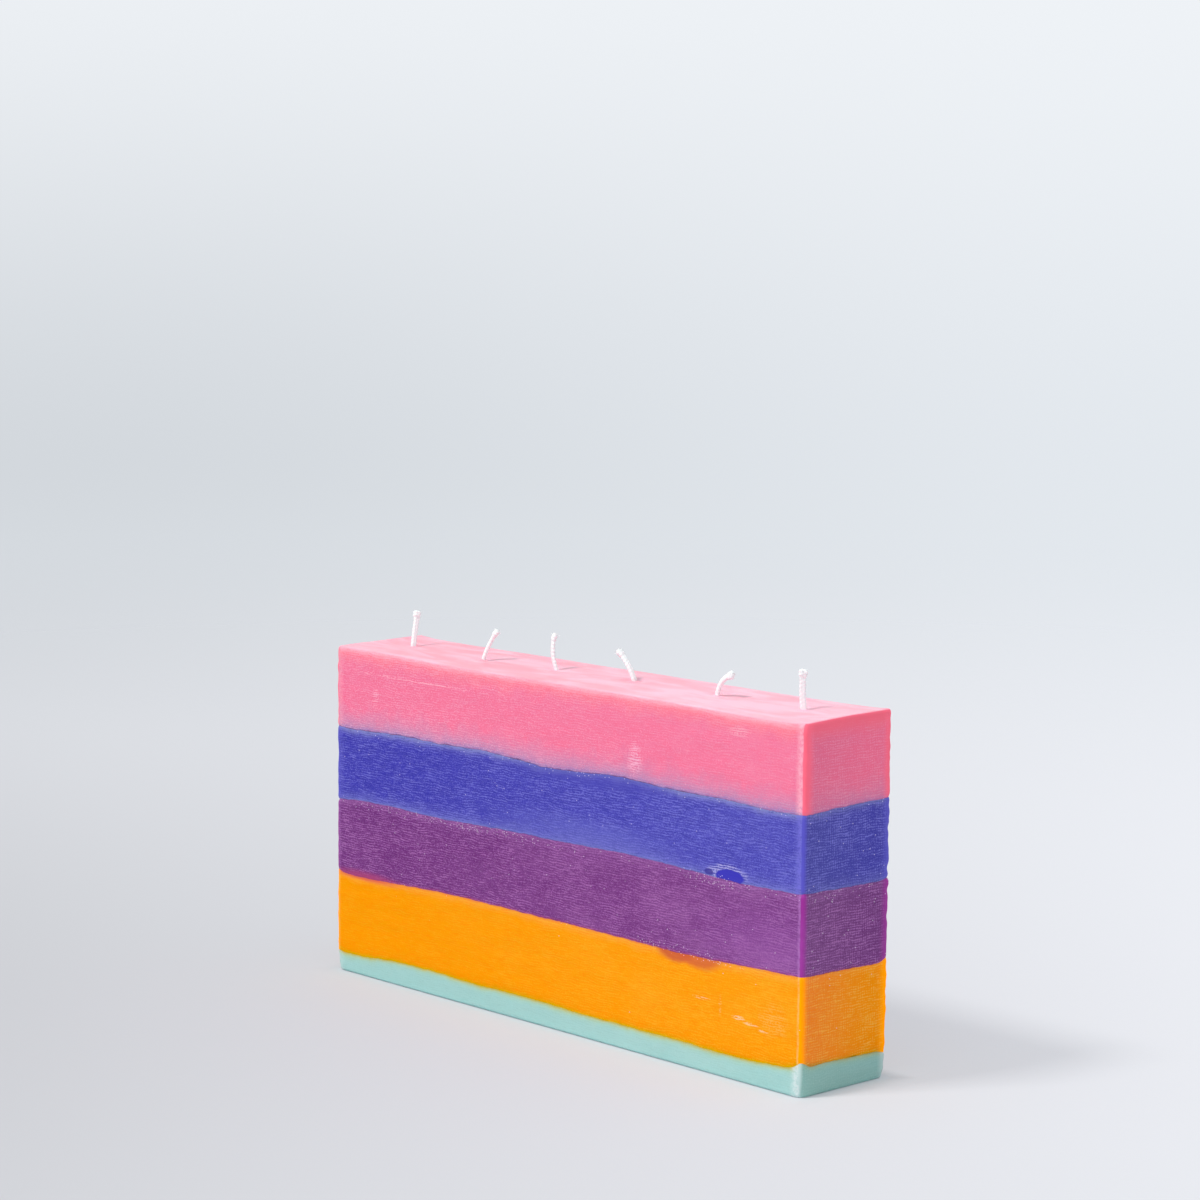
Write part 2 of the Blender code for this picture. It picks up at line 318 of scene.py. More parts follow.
# Where the specks crowd: slot, centre and radii
Crowd = namedtuple("Crowd", "slot centre radii")
CROWDS = (
    Crowd("orange_wax", (0.0680, WALL, 0.0376), (0.0300, 0.004, 0.0012)),
    Crowd("purple_wax", (0.0600, WALL, 0.0392), (0.0300, 0.004, 0.0017)),
    Crowd("purple_wax", (0.0800, WALL, 0.0640), (0.0200, 0.004, 0.0022)),
    Crowd("blue_wax", (0.0760, WALL, 0.0652), (0.0200, 0.004, 0.0018)),
    Crowd("blue_wax", (0.0000, WALL, 0.0915), (0.0400, 0.004, 0.0022)),
    Crowd("purple_wax", (-0.0450, WALL, 0.0640), (0.0700, 0.004, 0.0018)),
    Crowd("purple_wax", (0.1172, -0.0042, 0.0643), (0.004, 0.0040, 0.0020)),
    Crowd("pink_wax", (-0.0290, WALL, 0.1140), (0.0050, 0.004, 0.0016)),
)

# Marks of the pour on the front wall: slot, middle and radii, colour, strength, raggedness, softness, and
# if it is made of scratches only
Mark = namedtuple("Mark", "slot x z wide high color strength rag soft scratched")
MARKS = (
    Mark("blue_wax", 0.0835, 0.0672, 0.0100, 0.0034, (0.64, 0.62, 0.87), 0.55, 0.9, 0.40, True),
    Mark("blue_wax", 0.0848, 0.0665, 0.0068, 0.0024, (0.032, 0.026, 0.48), 1.0, 0.30, 0.20, False),
    Mark("blue_wax", 0.0752, 0.0668, 0.0022, 0.0012, (0.030, 0.020, 0.28), 0.85, 0.5, 0.30, False),
    Mark("orange_wax", 0.0600, 0.0390, 0.0104, 0.0054, (0.58, 0.100, 0.045), 0.85, 0.22, 0.45, False),
    Mark("orange_wax", 0.0715, 0.0386, 0.0120, 0.0056, (0.64, 0.120, 0.045), 0.82, 0.22, 0.50, False),
    Mark("blue_wax", 0.0180, 0.0902, 0.0480, 0.0044, (0.055, 0.050, 0.44), 0.60, 0.6, 0.60, False),
    Mark("blue_wax", 0.0150, 0.0705, 0.0620, 0.0075, (0.16, 0.17, 0.58), 0.36, 0.6, 0.90, False),
    Mark("pink_wax", 0.0400, 0.0990, 0.0040, 0.0064, (0.95, 0.50, 0.66), 0.70, 0.9, 0.60, True),
    Mark("pink_wax", 0.0883, 0.1141, 0.0060, 0.0022, (0.98, 0.46, 0.56), 0.60, 0.9, 0.60, True),
    Mark("pink_wax", -0.0950, 0.1030, 0.0025, 0.0045, (0.97, 0.48, 0.62), 0.50, 1.1, 0.60, True),
    Mark("pink_wax", -0.0735, 0.1120, 0.0420, 0.0005, (1.00, 0.56, 0.66), 0.55, 1.2, 0.80, True),
    Mark("purple_wax", 0.1020, 0.0480, 0.0420, 0.0160, (0.33, 0.090, 0.41), 0.28, 0.5, 0.90, False),
    Mark("purple_wax", -0.1000, 0.0367, 0.0260, 0.0034, (0.42, 0.040, 0.16), 0.80, 0.3, 0.90, False),
    Mark("orange_wax", -0.1000, 0.0367, 0.0260, 0.0018, (0.75, 0.120, 0.09), 0.80, 0.3, 0.90, False),
    Mark("orange_wax", 0.0732, 0.0246, 0.0050, 0.0006, (1.00, 0.58, 0.30), 0.75, 1.2, 0.70, True),
    Mark("orange_wax", 0.0810, 0.0234, 0.0009, 0.0040, (1.00, 0.50, 0.18), 0.45, 1.2, 0.80, True),
    Mark("orange_wax", 0.0892, 0.0211, 0.0030, 0.0010, (1.00, 0.62, 0.36), 0.85, 1.2, 0.60, True),
    Mark("orange_wax", 0.0950, 0.0200, 0.0040, 0.0007, (1.00, 0.60, 0.30), 0.80, 1.2, 0.70, True),
    Mark("orange_wax", 0.1004, 0.0187, 0.0026, 0.0005, (1.00, 0.62, 0.34), 0.85, 1.2, 0.60, True),
    Mark("orange_wax", 0.1050, 0.0230, 0.0080, 0.0070, (1.00, 0.50, 0.16), 0.34, 1.4, 0.90, True),
)

# The stage: floor disc, what the key lamp aims at and its colour, the side that the room's light is
# stronger from, and the camera's sensor in millimetres and nearest distance
FLOOR_RADIUS = 3.0
FLOOR_SIDES = 96
CANDLE_MIDDLE = Vector((0, 0, 0.06))
KEY_COLOR = (1.0, 0.98, 0.95)
BRIGHT_SIDE = Vector((0.82, -0.50, -0.22)).normalized()
SENSOR_WIDTH = 36.0
CLIP_START = 0.05


class CANDLE_PG_wax(bpy.types.PropertyGroup):
    """Sizes and colours of the wax block."""

    length: bpy.props.FloatProperty(
        name="Length", description="Length of the block", unit="LENGTH", min=0.05,
        default=BLOCK_BOX[1].x - BLOCK_BOX[0].x,
    )
    depth: bpy.props.FloatProperty(
        name="Depth", description="Depth of the block", unit="LENGTH", min=0.02,
        default=BLOCK_BOX[1].y - BLOCK_BOX[0].y,
    )
    corner_radius: bpy.props.FloatProperty(
        name="Corner Radius", description="Rounding of the upright corners", unit="LENGTH", default=0.0013
    )
    rim_radius: bpy.props.FloatProperty(
        name="Rim Radius", description="Rounding of the top's rim", unit="LENGTH", default=0.0012
    )
    rim_drop: bpy.props.FloatProperty(
        name="Rim Drop", description="How far down the walls that rounding reaches", unit="LENGTH",
        default=0.0022,
    )
    foot_radius: bpy.props.FloatProperty(
        name="Foot Radius", description="Rounding of the foot", unit="LENGTH", default=0.0011
    )
    mesh_step: bpy.props.FloatProperty(
        name="Mesh Step", description="Size of the faces on the block", unit="LENGTH",
        default=0.0007, min=0.0004,
    )
    wall_wave: bpy.props.FloatProperty(
        name="Wall Wave", description="Height of the uneven waves in the walls", unit="LENGTH",
        default=0.00010,
    )
    joint_groove: bpy.props.FloatProperty(
        name="Joint Groove", description="Depth of the groove where two pours meet", unit="LENGTH",
        default=0.00010,
    )
    mint: bpy.props.FloatVectorProperty(
        name="Mint", description="Colour of the lowest pour", subtype="COLOR", default=(0.345, 0.62, 0.60)
    )
    orange: bpy.props.FloatVectorProperty(
        name="Orange", description="Colour of the second pour", subtype="COLOR", default=(0.98, 0.322, 0.000)
    )
    purple: bpy.props.FloatVectorProperty(
        name="Purple", description="Colour of the third pour", subtype="COLOR", default=(0.143, 0.007, 0.176)
    )
    blue: bpy.props.FloatVectorProperty(
        name="Blue", description="Colour of the fourth pour", subtype="COLOR", default=(0.024, 0.018, 0.405)
    )
    pink: bpy.props.FloatVectorProperty(
        name="Pink", description="Colour of the top pour", subtype="COLOR", default=(0.90, 0.180, 0.32)
    )
    translucency: bpy.props.FloatProperty(
        name="Translucency", description="Share of the light that enters the wax", subtype="FACTOR",
        default=0.38, min=0.0, max=1.0,
    )
    glow_depth: bpy.props.FloatProperty(
        name="Glow Depth", description="How far the light spreads inside the wax", unit="LENGTH",
        default=0.0018,
    )
    # Painted glow: how strongly the clear corners emit light, standing in for light shining through the wax
    painted_edge_glow: bpy.props.FloatProperty(
        name="Edge Glow", description="How much light the clear corners let through", subtype="FACTOR",
        default=0.22, min=0.0, max=1.0,
    )


class CANDLE_PG_wick(bpy.types.PropertyGroup):
    """Sizes and colours of the wicks and their tabs."""

    diameter: bpy.props.FloatProperty(
        name="Diameter", description="Thickness of a wick", unit="LENGTH", default=0.0019
    )
    trim: bpy.props.FloatProperty(
        name="Trim", description="Height that the wicks are cut to", unit="LENGTH", default=0.0125
    )
    flare: bpy.props.FloatProperty(
        name="Flare", description="How much wider the cut end is all round", unit="LENGTH", default=0.0004
    )
    flare_length: bpy.props.FloatProperty(
        name="Flare Length", description="How far the spread strands run back", unit="LENGTH", default=0.0026
    )
    braid_pitch: bpy.props.FloatProperty(
        name="Braid Pitch", description="Distance between the braid's knuckles", unit="LENGTH", default=0.0013
    )
    cotton: bpy.props.FloatVectorProperty(
        name="Cotton", description="Colour of the waxed cotton", subtype="COLOR", default=(0.90, 0.97, 0.97)
    )
    tin: bpy.props.FloatVectorProperty(
        name="Tin", description="Colour of the tinned steel tabs", subtype="COLOR", default=(0.72, 0.72, 0.70)
    )


class CANDLE_PG_stage(bpy.types.PropertyGroup):
    """Camera, lamp, floor and backdrop."""

    azimuth: bpy.props.FloatProperty(
        name="Azimuth", description="Turn of the camera round the candle", subtype="ANGLE",
        default=math.radians(46.838),
    )
    elevation: bpy.props.FloatProperty(
        name="Elevation", description="Height of the camera above the level", subtype="ANGLE",
        default=math.radians(6.949),
    )
    roll: bpy.props.FloatProperty(
        name="Roll", description="Tilt of the camera", subtype="ANGLE", default=math.radians(0.493)
    )
    lens: bpy.props.FloatProperty(
        name="Lens", description="Focal length of the camera in millimetres", default=97.133
    )
    camera: bpy.props.FloatVectorProperty(
        name="Camera", description="Place of the camera", subtype="XYZ", unit="LENGTH",
        default=(0.8002, -0.7493, 0.2801),
    )
    key_place: bpy.props.FloatVectorProperty(
        name="Key Place", description="Place of the soft key lamp", subtype="XYZ", unit="LENGTH",
        default=(-0.45, -1.38, 2.12),
    )
    key_size: bpy.props.FloatProperty(
        name="Key Size", description="Side of the soft key lamp", unit="LENGTH", default=0.48
    )
    key_power: bpy.props.FloatProperty(
        name="Key Power", description="Power of the key lamp in watts", default=38.0
    )
    sky: bpy.props.FloatVectorProperty(
        name="Room Light", description="Colour and level of the light from all round", subtype="COLOR",
        default=(0.65, 0.66, 0.68),
    )
    floor: bpy.props.FloatVectorProperty(
        name="Floor", description="Colour of the floor", subtype="COLOR", default=(0.640, 0.655, 0.69)
    )
    floor_fill: bpy.props.FloatProperty(
        name="Floor Fill", description="Share of the floor's paleness that no shadow darkens",
        subtype="FACTOR", default=0.54, min=0.0, max=1.0,
    )
    backdrop: bpy.props.FloatVectorProperty(
        name="Backdrop", description="Colour of the backdrop at floor level", subtype="COLOR",
        default=(0.72, 0.757, 0.80),
    )
    backdrop_top: bpy.props.FloatVectorProperty(
        name="Backdrop Top", description="Colour of the backdrop higher up", subtype="COLOR",
        default=(0.86, 0.89, 0.925),
    )


# The shape of the poured block


def bell(distance, width):
    """1 at no distance, falling off smoothly over the width."""
    return math.exp(-((distance / width) ** 2))


def line_level(index):
    """Height of pour line number index, before its swells. The last line is the open top."""
    return sum(pour.thickness for pour in POURS[:index])


def line_height(wax, index, x, y):
    """Height of a pour line over a point of the plan, as in the solids."""
    share = y / wax.depth + 0.5
    along = x + LINE_SKEW * share * wax.depth
    swells = sum(
        swell.height * math.sin(2 * math.pi * (along + swell.shift) / swell.length)
        for swell in LINE_SWELLS[index]
    )
    if index < TOP_LINE:
        return line_level(index) + swells
    to_end = max(wax.length / 2 - abs(x), 0.0)
    lip = END_LIP_RISE * math.exp(-to_end / END_LIP_REACH)
    return line_level(index) + swells * (1 - share) + lip + REAR_RISE * share


def from_corner(wax, x, y):
    """How far a point of the plan is from the nearest upright corner."""
    return max(wax.length / 2 - abs(x), wax.depth / 2 - abs(y))


def corner_climb(wax, index, x, y):
    """How far a pour line climbs, or sags where it is negative, near an upright corner."""
    climb = CORNER_CLIMBS[index][(1 if y > 0 else 0) + (2 if x < 0 else 0)]
    return climb * bell(from_corner(wax, x, y), CORNER_CLIMB_REACH)


def top_ripple(wax, x, y):
    """Set wax isn't level: low waves, a rim that swells along the front, and a rear edge that rises to +X."""
    slow = noise.noise(Vector((x * TOP_WAVE_CELLS[0], y * TOP_WAVE_CELLS[1], 3.1)))
    quick = noise.noise(Vector((x, y, 0.0)) * TOP_RIPPLE_CELLS + Vector((0, 0, 9.4)))
    share = y / wax.depth + 0.5
    swell = RIM_SWELL.height * math.sin(2 * math.pi * (x + RIM_SWELL.shift) / RIM_SWELL.length)
    rear = RIM_REAR_RISE * min(max(x / wax.length + 0.5, 0.0), 1.0)
    return TOP_WAVE * slow + TOP_RIPPLE * quick + swell * (1 - share) ** 2 + rear * share


def fine_line(wax, index, x, y):
    """A pour line with its small ripples and its climb at the upright corners."""
    if index == 0:
        return 0.0
    height = line_height(wax, index, x, y)
    if index == TOP_LINE:
        return height + top_ripple(wax, x, y)
    here = Vector((x, y, RIPPLE_STEP * index))
    ripple = sum(size * noise.noise(here * cells) for size, cells in RIPPLES)
    return height + corner_climb(wax, index, x, y) + ripple


def wick_exit(wax, number):
    """Where a wick comes out of the wax."""
    cell = wax.length / len(WICKS)
    drift = WICKS[number].drift
    x = (number + 0.5 + drift[0]) * cell - wax.length / 2
    y = drift[1] * cell
    return Vector((x, y, line_height(wax, TOP_LINE, x, y)))


def wick_dip(exits, x, y):
    """How far the wax stands above its level near a wick, or below it where this is negative."""
    total = 0.0
    for number, at in enumerate(exits):
        away = math.hypot(x - at.x, y - at.y)
        if away < DIP_REACH:
            total += DIP_CLIMB * bell(away, DIP_CLIMB_WIDTH)
            total -= DIP_SINKS[number % 2] * bell(away - DIP_RING, DIP_RING_WIDTH)
    return total


def wall_relief(wax, index, x, y, z, above, below):
    """How far the wall stands out of the mould's plane: slow waves, and a broken groove at each pour line."""
    wave = sum(size * noise.noise(Vector((x * along, y * along, z * up))) for size, along, up in WALL_WAVES)
    line = index if above < below else index + 1
    broken = 0.5 + 0.5 * noise.noise(Vector((x * GROOVE_CELLS, y * GROOVE_CELLS, 2.7)))
    at_corner = bell(from_corner(wax, x, y), CHIP_REACH)
    along, up = CHIP_CELLS
    chip_size = BACK_CHIPS if y > 0 else FRONT_CHIPS
    chips = at_corner * noise.noise(Vector((x * along, y * along, z * up))) * chip_size
    depth = wax.joint_groove * (GROOVES[line] * broken + NOTCH_DEPTH * NOTCHES[line] * at_corner)
    return wax.wall_wave * (wave + chips) - depth * bell(min(above, below), GROOVE_WIDTH)


Plan = namedtuple("Plan", "points normals inner curved counts half")


def plan_outline(wax, radius):
    """Points round the block's plan, each with its normal, its inner grid corner and if it is on an arc."""
    half_x, half_y = wax.length / 2, wax.depth / 2
    a, b = half_x - radius, half_y - radius
    count_x, count_y = round(2 * a / wax.mesh_step), round(2 * b / wax.mesh_step)
    plan = Plan([], [], [], [], (count_x, count_y), (a, b))

    def add(*values):
        for kept, value in zip(plan, values):
            kept.append(value)

    sides = (
        ((-a, -half_y), (a, -half_y), (0, -1), (0, 0), (1, 0), count_x, (a, -b), -90),
        ((half_x, -b), (half_x, b), (1, 0), (count_x, 0), (0, 1), count_y, (a, b), 0),
        ((a, half_y), (-a, half_y), (0, 1), (count_x, count_y), (-1, 0), count_x, (-a, b), 90),
        ((-half_x, b), (-half_x, -b), (-1, 0), (0, count_y), (0, -1), count_y, (-a, -b), 180),
    )
    for start, end, normal, cell, step, count, centre, angle in sides:
        for i in range(count + 1):
            t = i / count
            point = (start[0] + t * (end[0] - start[0]), start[1] + t * (end[1] - start[1]))
            add(point, normal, (cell[0] + step[0] * i, cell[1] + step[1] * i), False)
        for i in range(1, ARC_STEPS):
            turn = math.radians(angle + 90 * i / ARC_STEPS)
            normal = (math.cos(turn), math.sin(turn))
            point = (centre[0] + radius * normal[0], centre[1] + radius * normal[1])
            add(point, normal, plan.inner[-1], True)
    return plan


def on_corner(wax, normal, point, radius):
    """The point of an upright corner that faces along the normal, for another radius of the corner."""
    x = math.copysign(wax.length / 2 - radius * (1 - abs(normal[0])), point[0])
    y = math.copysign(wax.depth / 2 - radius * (1 - abs(normal[1])), point[1])
    return x, y


def layer_rows(wax, index):
    """(inset, share of the wall, height below the top or above the foot) for each ring of a layer's wall."""
    count = max(FEWEST_ROWS, round(POURS[index].thickness / (wax.mesh_step * ROW_STEP)))
    rows = []
    if index == 0:
        for i in range(FOOT_STEPS):
            turn = math.pi / 2 * i / FOOT_STEPS
            inset, rise = 1 - math.sin(turn), 1 - math.cos(turn)
            rows.append((wax.foot_radius * inset, None, wax.foot_radius * rise))
    rows += [(0.0, i / count, 0.0) for i in range(count + 1)]
    if index == TOP_LINE - 1:
        for i in range(1, RIM_STEPS + 1):
            turn = math.pi / 2 * i / RIM_STEPS
            inset, drop = 1 - math.cos(turn), 1 - math.sin(turn)
            rows.append((wax.rim_radius * inset, None, wax.rim_drop * drop))
    return rows


def wall_points(wax, index, plan):
    """The rings of points of a layer's wall, one after another from its foot up."""
    foot, top = index == 0, index == TOP_LINE - 1
    edge = plan.points
    if foot:
        edge = [
            on_corner(wax, normal, point, FOOT_CORNERS[0]) if bent else point
            for point, normal, bent in zip(plan.points, plan.normals, plan.curved)
        ]
    lower = [fine_line(wax, index, x, y) for x, y in plan.points]
    upper = [fine_line(wax, index + 1, x, y) for x, y in edge]
    verts = []
    for inset, share, drop in layer_rows(wax, index):
        for k, ((x, y), (nx, ny)) in enumerate(zip(plan.points, plan.normals)):
            base = wax.foot_radius if foot else lower[k]
            head = upper[k] - wax.rim_drop if top else upper[k]
            if share is not None:
                z = base + share * (head - base)
                if foot and plan.curved[k]:
                    opened = FOOT_CORNERS[0] + (FOOT_CORNERS[1] - FOOT_CORNERS[0]) * (1 - share) ** FOOT_EASE
                    x, y = on_corner(wax, (nx, ny), (x, y), opened)
            elif foot:
                z = drop
            else:
                z = fine_line(wax, index + 1, x - nx * inset, y - ny * inset) - drop
            out = -inset
            if share is not None or not foot:
                above = 1.0 if foot else z - lower[k]
                below = 1.0 if top else upper[k] - z
                out = wall_relief(wax, index, x, y, z, above, below) - inset
            verts.append((x + nx * out, y + ny * out, z))
    return verts


def level_cap(plan, base):
    """Faces across the ring of the wall that starts at point number base."""
    ring = len(plan.points)
    count_x, count_y = plan.counts
    back = count_x + count_y + 2 * ARC_STEPS
    faces = []
    for i in range(count_x):
        across = back + count_x - i
        faces.append((base + i, base + i + 1, base + across - 1, base + across))
    faces.append(tuple(base + k for k in range(count_x, back + 1)))
    faces.append(tuple(base + k % ring for k in range(back + count_x, ring + 1)))
    return faces


def open_top(wax, plan, exits, last):
    """Points and faces of the candle's top, inside the wall's ring that starts at point number last."""
    ring = len(plan.points)
    count_x, count_y = plan.counts
    a, b = plan.half
    verts, faces = [], []
    for j in range(count_y + 1):
        for i in range(count_x + 1):
            x, y = -a + 2 * a * i / count_x, -b + 2 * b * j / count_y
            verts.append((x, y, fine_line(wax, TOP_LINE, x, y) + wick_dip(exits, x, y)))
    grid = last + ring
    place = [grid + j * (count_x + 1) + i for i, j in plan.inner]
    for k in range(ring):
        beside = (k + 1) % ring
        face = (last + k, last + beside, place[beside], place[k])
        faces.append(face if place[k] != place[beside] else face[:3])
    for j in range(count_y):
        for i in range(count_x):
            at = grid + j * (count_x + 1) + i
            faces.append((at, at + 1, at + count_x + 2, at + count_x + 1))
    return verts, faces


def close_mesh(bm, mesh):
    """Turns all the faces outwards and writes them to the mesh."""
    bmesh.ops.recalc_face_normals(bm, faces=bm.faces[:])
    bm.to_mesh(mesh)
    bm.free()
    return mesh


def bridge(bm, one, two):
    """A band of faces between two rings of as many points."""
    for k in range(len(one)):
        beside = (k + 1) % len(one)
        bm.faces.new((one[k], one[beside], two[beside], two[k]))


def layer_mesh(wax, index, exits):
    """One pour as a closed mesh: fine walls, and for the top pour its open face with a rounded rim."""
    plan = plan_outline(wax, FOOT_CORNERS[1] if index == 0 else wax.corner_radius)
    ring = len(plan.points)
    verts = wall_points(wax, index, plan)
    last = len(verts) - ring
    faces = []
    for low in range(0, last, ring):
        for k in range(ring):
            beside = (k + 1) % ring
            faces.append((low + k, low + beside, low + ring + beside, low + ring + k))
    faces += [tuple(range(ring - 1, -1, -1))] if index == 0 else level_cap(plan, 0)
    if index < TOP_LINE - 1:
        faces += level_cap(plan, last)
    else:
        top_verts, top_faces = open_top(wax, plan, exits, last)
        verts += top_verts
        faces += top_faces
    mesh = bpy.data.meshes.new(POURS[index].node)
    mesh.from_pydata(verts, [], faces)
    bm = bmesh.new()
    bm.from_mesh(mesh)
    return close_mesh(bm, mesh)


def mark_heights(wax, index, mesh):
    """Keeps on each point how far it is above the pour line under it and below the one over it."""
    count = len(mesh.vertices)
    above, below = np.empty(count, np.float32), np.empty(count, np.float32)
    for vert in mesh.vertices:
        x, y, z = vert.co
        above[vert.index] = z - fine_line(wax, index, x, y) if index else 1.0
        below[vert.index] = fine_line(wax, index + 1, x, y) - z
    for name, values in (("above_line", above), ("below_line", below)):
        mesh.attributes.new(name, "FLOAT", "POINT").data.foreach_set("value", values)


def pocket_cutter(at):
    """The round seat that a wick tab leaves in the underside."""
    outline = (
        (POCKET_COLLAR, POCKET_TOP),
        (POCKET_COLLAR, POCKET_SEAT + POCKET_CONE),
        (POCKET_COLLAR + 2 * POCKET_CONE, POCKET_SEAT),
        (POCKET_DISC, POCKET_SEAT),
        (POCKET_DISC, POCKET_BELOW),
    )
    turns = [2 * math.pi * k / POCKET_SIDES for k in range(POCKET_SIDES)]
    bm = bmesh.new()
    rings = [
        [
            bm.verts.new((at.x + radius * math.cos(turn), at.y + radius * math.sin(turn), height))
            for turn in turns
        ]
        for radius, height in outline
    ]
    for one, two in zip(rings, rings[1:]):
        bridge(bm, one, two)
    bm.faces.new(rings[0])
    bm.faces.new(rings[-1])
    return close_mesh(bm, bpy.data.meshes.new("tab_pocket"))


def cut_pockets(piece, exits):
    """Cuts the seats of the wick tabs out of the lowest pour, and leaves no modifier on it."""
    cutters = bpy.data.collections.new("tab_pockets")
    for number, at in enumerate(exits):
        cutters.objects.link(bpy.data.objects.new(f"tab_pocket_{number + 1}", pocket_cutter(at)))
    cut = piece.modifiers.new("tab_pockets", "BOOLEAN")
    cut.operation = "DIFFERENCE"
    cut.solver = "EXACT"
    cut.operand_type = "COLLECTION"
    cut.collection = cutters
    graph = bpy.context.evaluated_depsgraph_get()
    mesh = bpy.data.meshes.new_from_object(piece.evaluated_get(graph))
    piece.modifiers.clear()
    piece.data = mesh
    for cutter in list(cutters.objects):
        bpy.data.objects.remove(cutter)
    bpy.data.collections.remove(cutters)


def new_object(name, data):
    """A new object in the scene."""
    made = bpy.data.objects.new(name, data)
    bpy.context.scene.collection.objects.link(made)
    return made


def hand_over(piece, node):
    """The piece stands for a CAD node, which it hides, and moves with the candle."""
    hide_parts(node)
    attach(piece, BODY)


# The shape of the wicks


def wick_centres(wax, wick, number):
    """(point, distance out of the wax) along a wick, from its tab up to its cut tip."""
    start = wick_exit(wax, number)
    shape = WICKS[number]
    leave = start + Vector((0, 0, WICK_GAP))
    knee, tip = start + wick.trim * Vector(shape.knee), start + wick.trim * Vector(shape.tip)
    # One smooth bend that passes through the knee
    below = (knee - leave).length
    at_knee = below / (below + (tip - knee).length)
    pull = (knee - (1 - at_knee) ** 2 * leave - at_knee**2 * tip) / (2 * at_knee * (1 - at_knee))
    shares = [i / CURVE_STEPS for i in range(CURVE_STEPS + 1)]
    curve = [(1 - t) ** 2 * leave + 2 * t * (1 - t) * pull + t**2 * tip for t in shares]
    lengths = [0.0]
    for one, two in zip(curve, curve[1:]):
        lengths.append(lengths[-1] + (two - one).length)
    heights = [TAB_RECESS, COLLAR_END, start.z * 0.5]
    z = start.z - BRAID_START
    while z < leave.z - BRAID_STEP / 2:
        heights.append(z)
        z += BRAID_STEP
    centres = [(Vector((start.x, start.y, z)), z - start.z) for z in heights]
    length = lengths[-1] - CROWN_RISE
    count = round(length / BRAID_STEP)
    at = 0
    for i in range(count + 1):
        wanted = length * i / count
        while at < CURVE_STEPS - 1 and lengths[at + 1] < wanted:
            at += 1
        share = (wanted - lengths[at]) / max(lengths[at + 1] - lengths[at], 1e-9)
        centres.append((curve[at].lerp(curve[at + 1], min(share, 1.0)), WICK_GAP + wanted))
    return centres


class Braid:
    """A wick's mesh in the making. Points keep how far out of the wax and how high on a knuckle they are."""

    def __init__(self):
        self.bm = bmesh.new()
        self.out = self.bm.verts.layers.float.new("out_of_wax")
        self.crest = self.bm.verts.layers.float.new("braid_crest")

    def point(self, place, out, crest):
        made = self.bm.verts.new(place)
        made[self.out] = out
        made[self.crest] = crest
        return made


def wick_mesh(wax, wick, number):
    """A flat-braided wick: two rows of knuckles, a furrow down each face, its strands spread at the cut."""
    centres = wick_centres(wax, wick, number)
    total = centres[-1][1]
    turn = math.radians(WICKS[number].turn)
    tangents = []
    for i in range(len(centres)):
        ahead, behind = centres[min(i + 1, len(centres) - 1)][0], centres[max(i - 1, 0)][0]
        tangents.append((ahead - behind).normalized())
    side = Vector((math.cos(turn), math.sin(turn), 0.0))
    braid = Braid()
    rings = []
    for (centre, out), tangent in zip(centres, tangents):
        side = (side - tangent * side.dot(tangent)).normalized()
        other = tangent.cross(side)
        spread = max(0.0, 1 - (total - out) / wick.flare_length)
        full = min(1.7 * spread, 1.0)
        radius = wick.diameter / 2 + wick.flare * full**2 * (3 - 2 * full) * (1 - 0.25 * spread**8)
        ring = []
        for k in range(BRAID_SIDES):
            angle = 2 * math.pi * k / BRAID_SIDES
            across, through = math.cos(angle), math.sin(angle)
            # The two rows of knuckles are half a pitch apart
            slant = 2 * math.pi * out / wick.braid_pitch + KNUCKLE_SLANT * abs(across)
            slant += math.pi * (1 if across > 0 else 0) * (1 if abs(across) > 0.05 else 0.5)
            furrow = bell(across, FURROW_WIDTH)
            crest = (0.5 + 0.5 * math.cos(slant)) * (1 - furrow)
            bump = KNUCKLE_HEIGHT * (crest - 0.5) - FURROW_DEPTH * furrow * (1 - 0.6 * spread)
            grain = noise.noise(centre * BRAID_GRAIN_CELLS + Vector((across * 2, through * 2, number * 5.0)))
            strands = 0.06 * spread * math.sin(5 * angle + number)
            reach = radius * (1.04 + bump + BRAID_GRAIN * grain + strands)
            spoke = reach * (across * BRAID_WIDE * side + through * BRAID_FLAT * other)
            ring.append(braid.point(centre + spoke, out, crest))
        rings.append(ring)
    for one, two in zip(rings, rings[1:]):
        bridge(braid.bm, one, two)
    braid.bm.faces.new(list(reversed(rings[0])))
    centre, tangent = centres[-1][0], tangents[-1]
    crown(braid, rings[-1], centre, tangent, number, total)
    fibres(braid, centre, tangent, side, wick, number, total)
    mesh = close_mesh(braid.bm, bpy.data.meshes.new(f"cotton_wick_{number + 1}"))
    mesh.shade_smooth()
    return mesh


def crown(braid, ring, centre, tangent, number, out):
    """Closes the cut end with a ragged low dome."""
    last = ring
    for share in CROWN_RINGS:
        inner = []
        for vert in ring:
            away = vert.co - centre
            ragged = noise.noise(centre * 900 + away * 4200 + Vector((share, number, 0)))
            dome = CROWN_DOME * math.sqrt(1 - share**2) + CROWN_RAG * ragged
            inner.append(braid.point(centre + away * share + tangent * dome, out, 0.5 + ragged))
        bridge(braid.bm, last, inner)
        last = inner
    tip = braid.point(centre + tangent * CROWN_RISE, out, 0.5)
    for k in range(len(last)):
        braid.bm.faces.new((last[k], last[(k + 1) % len(last)], tip))


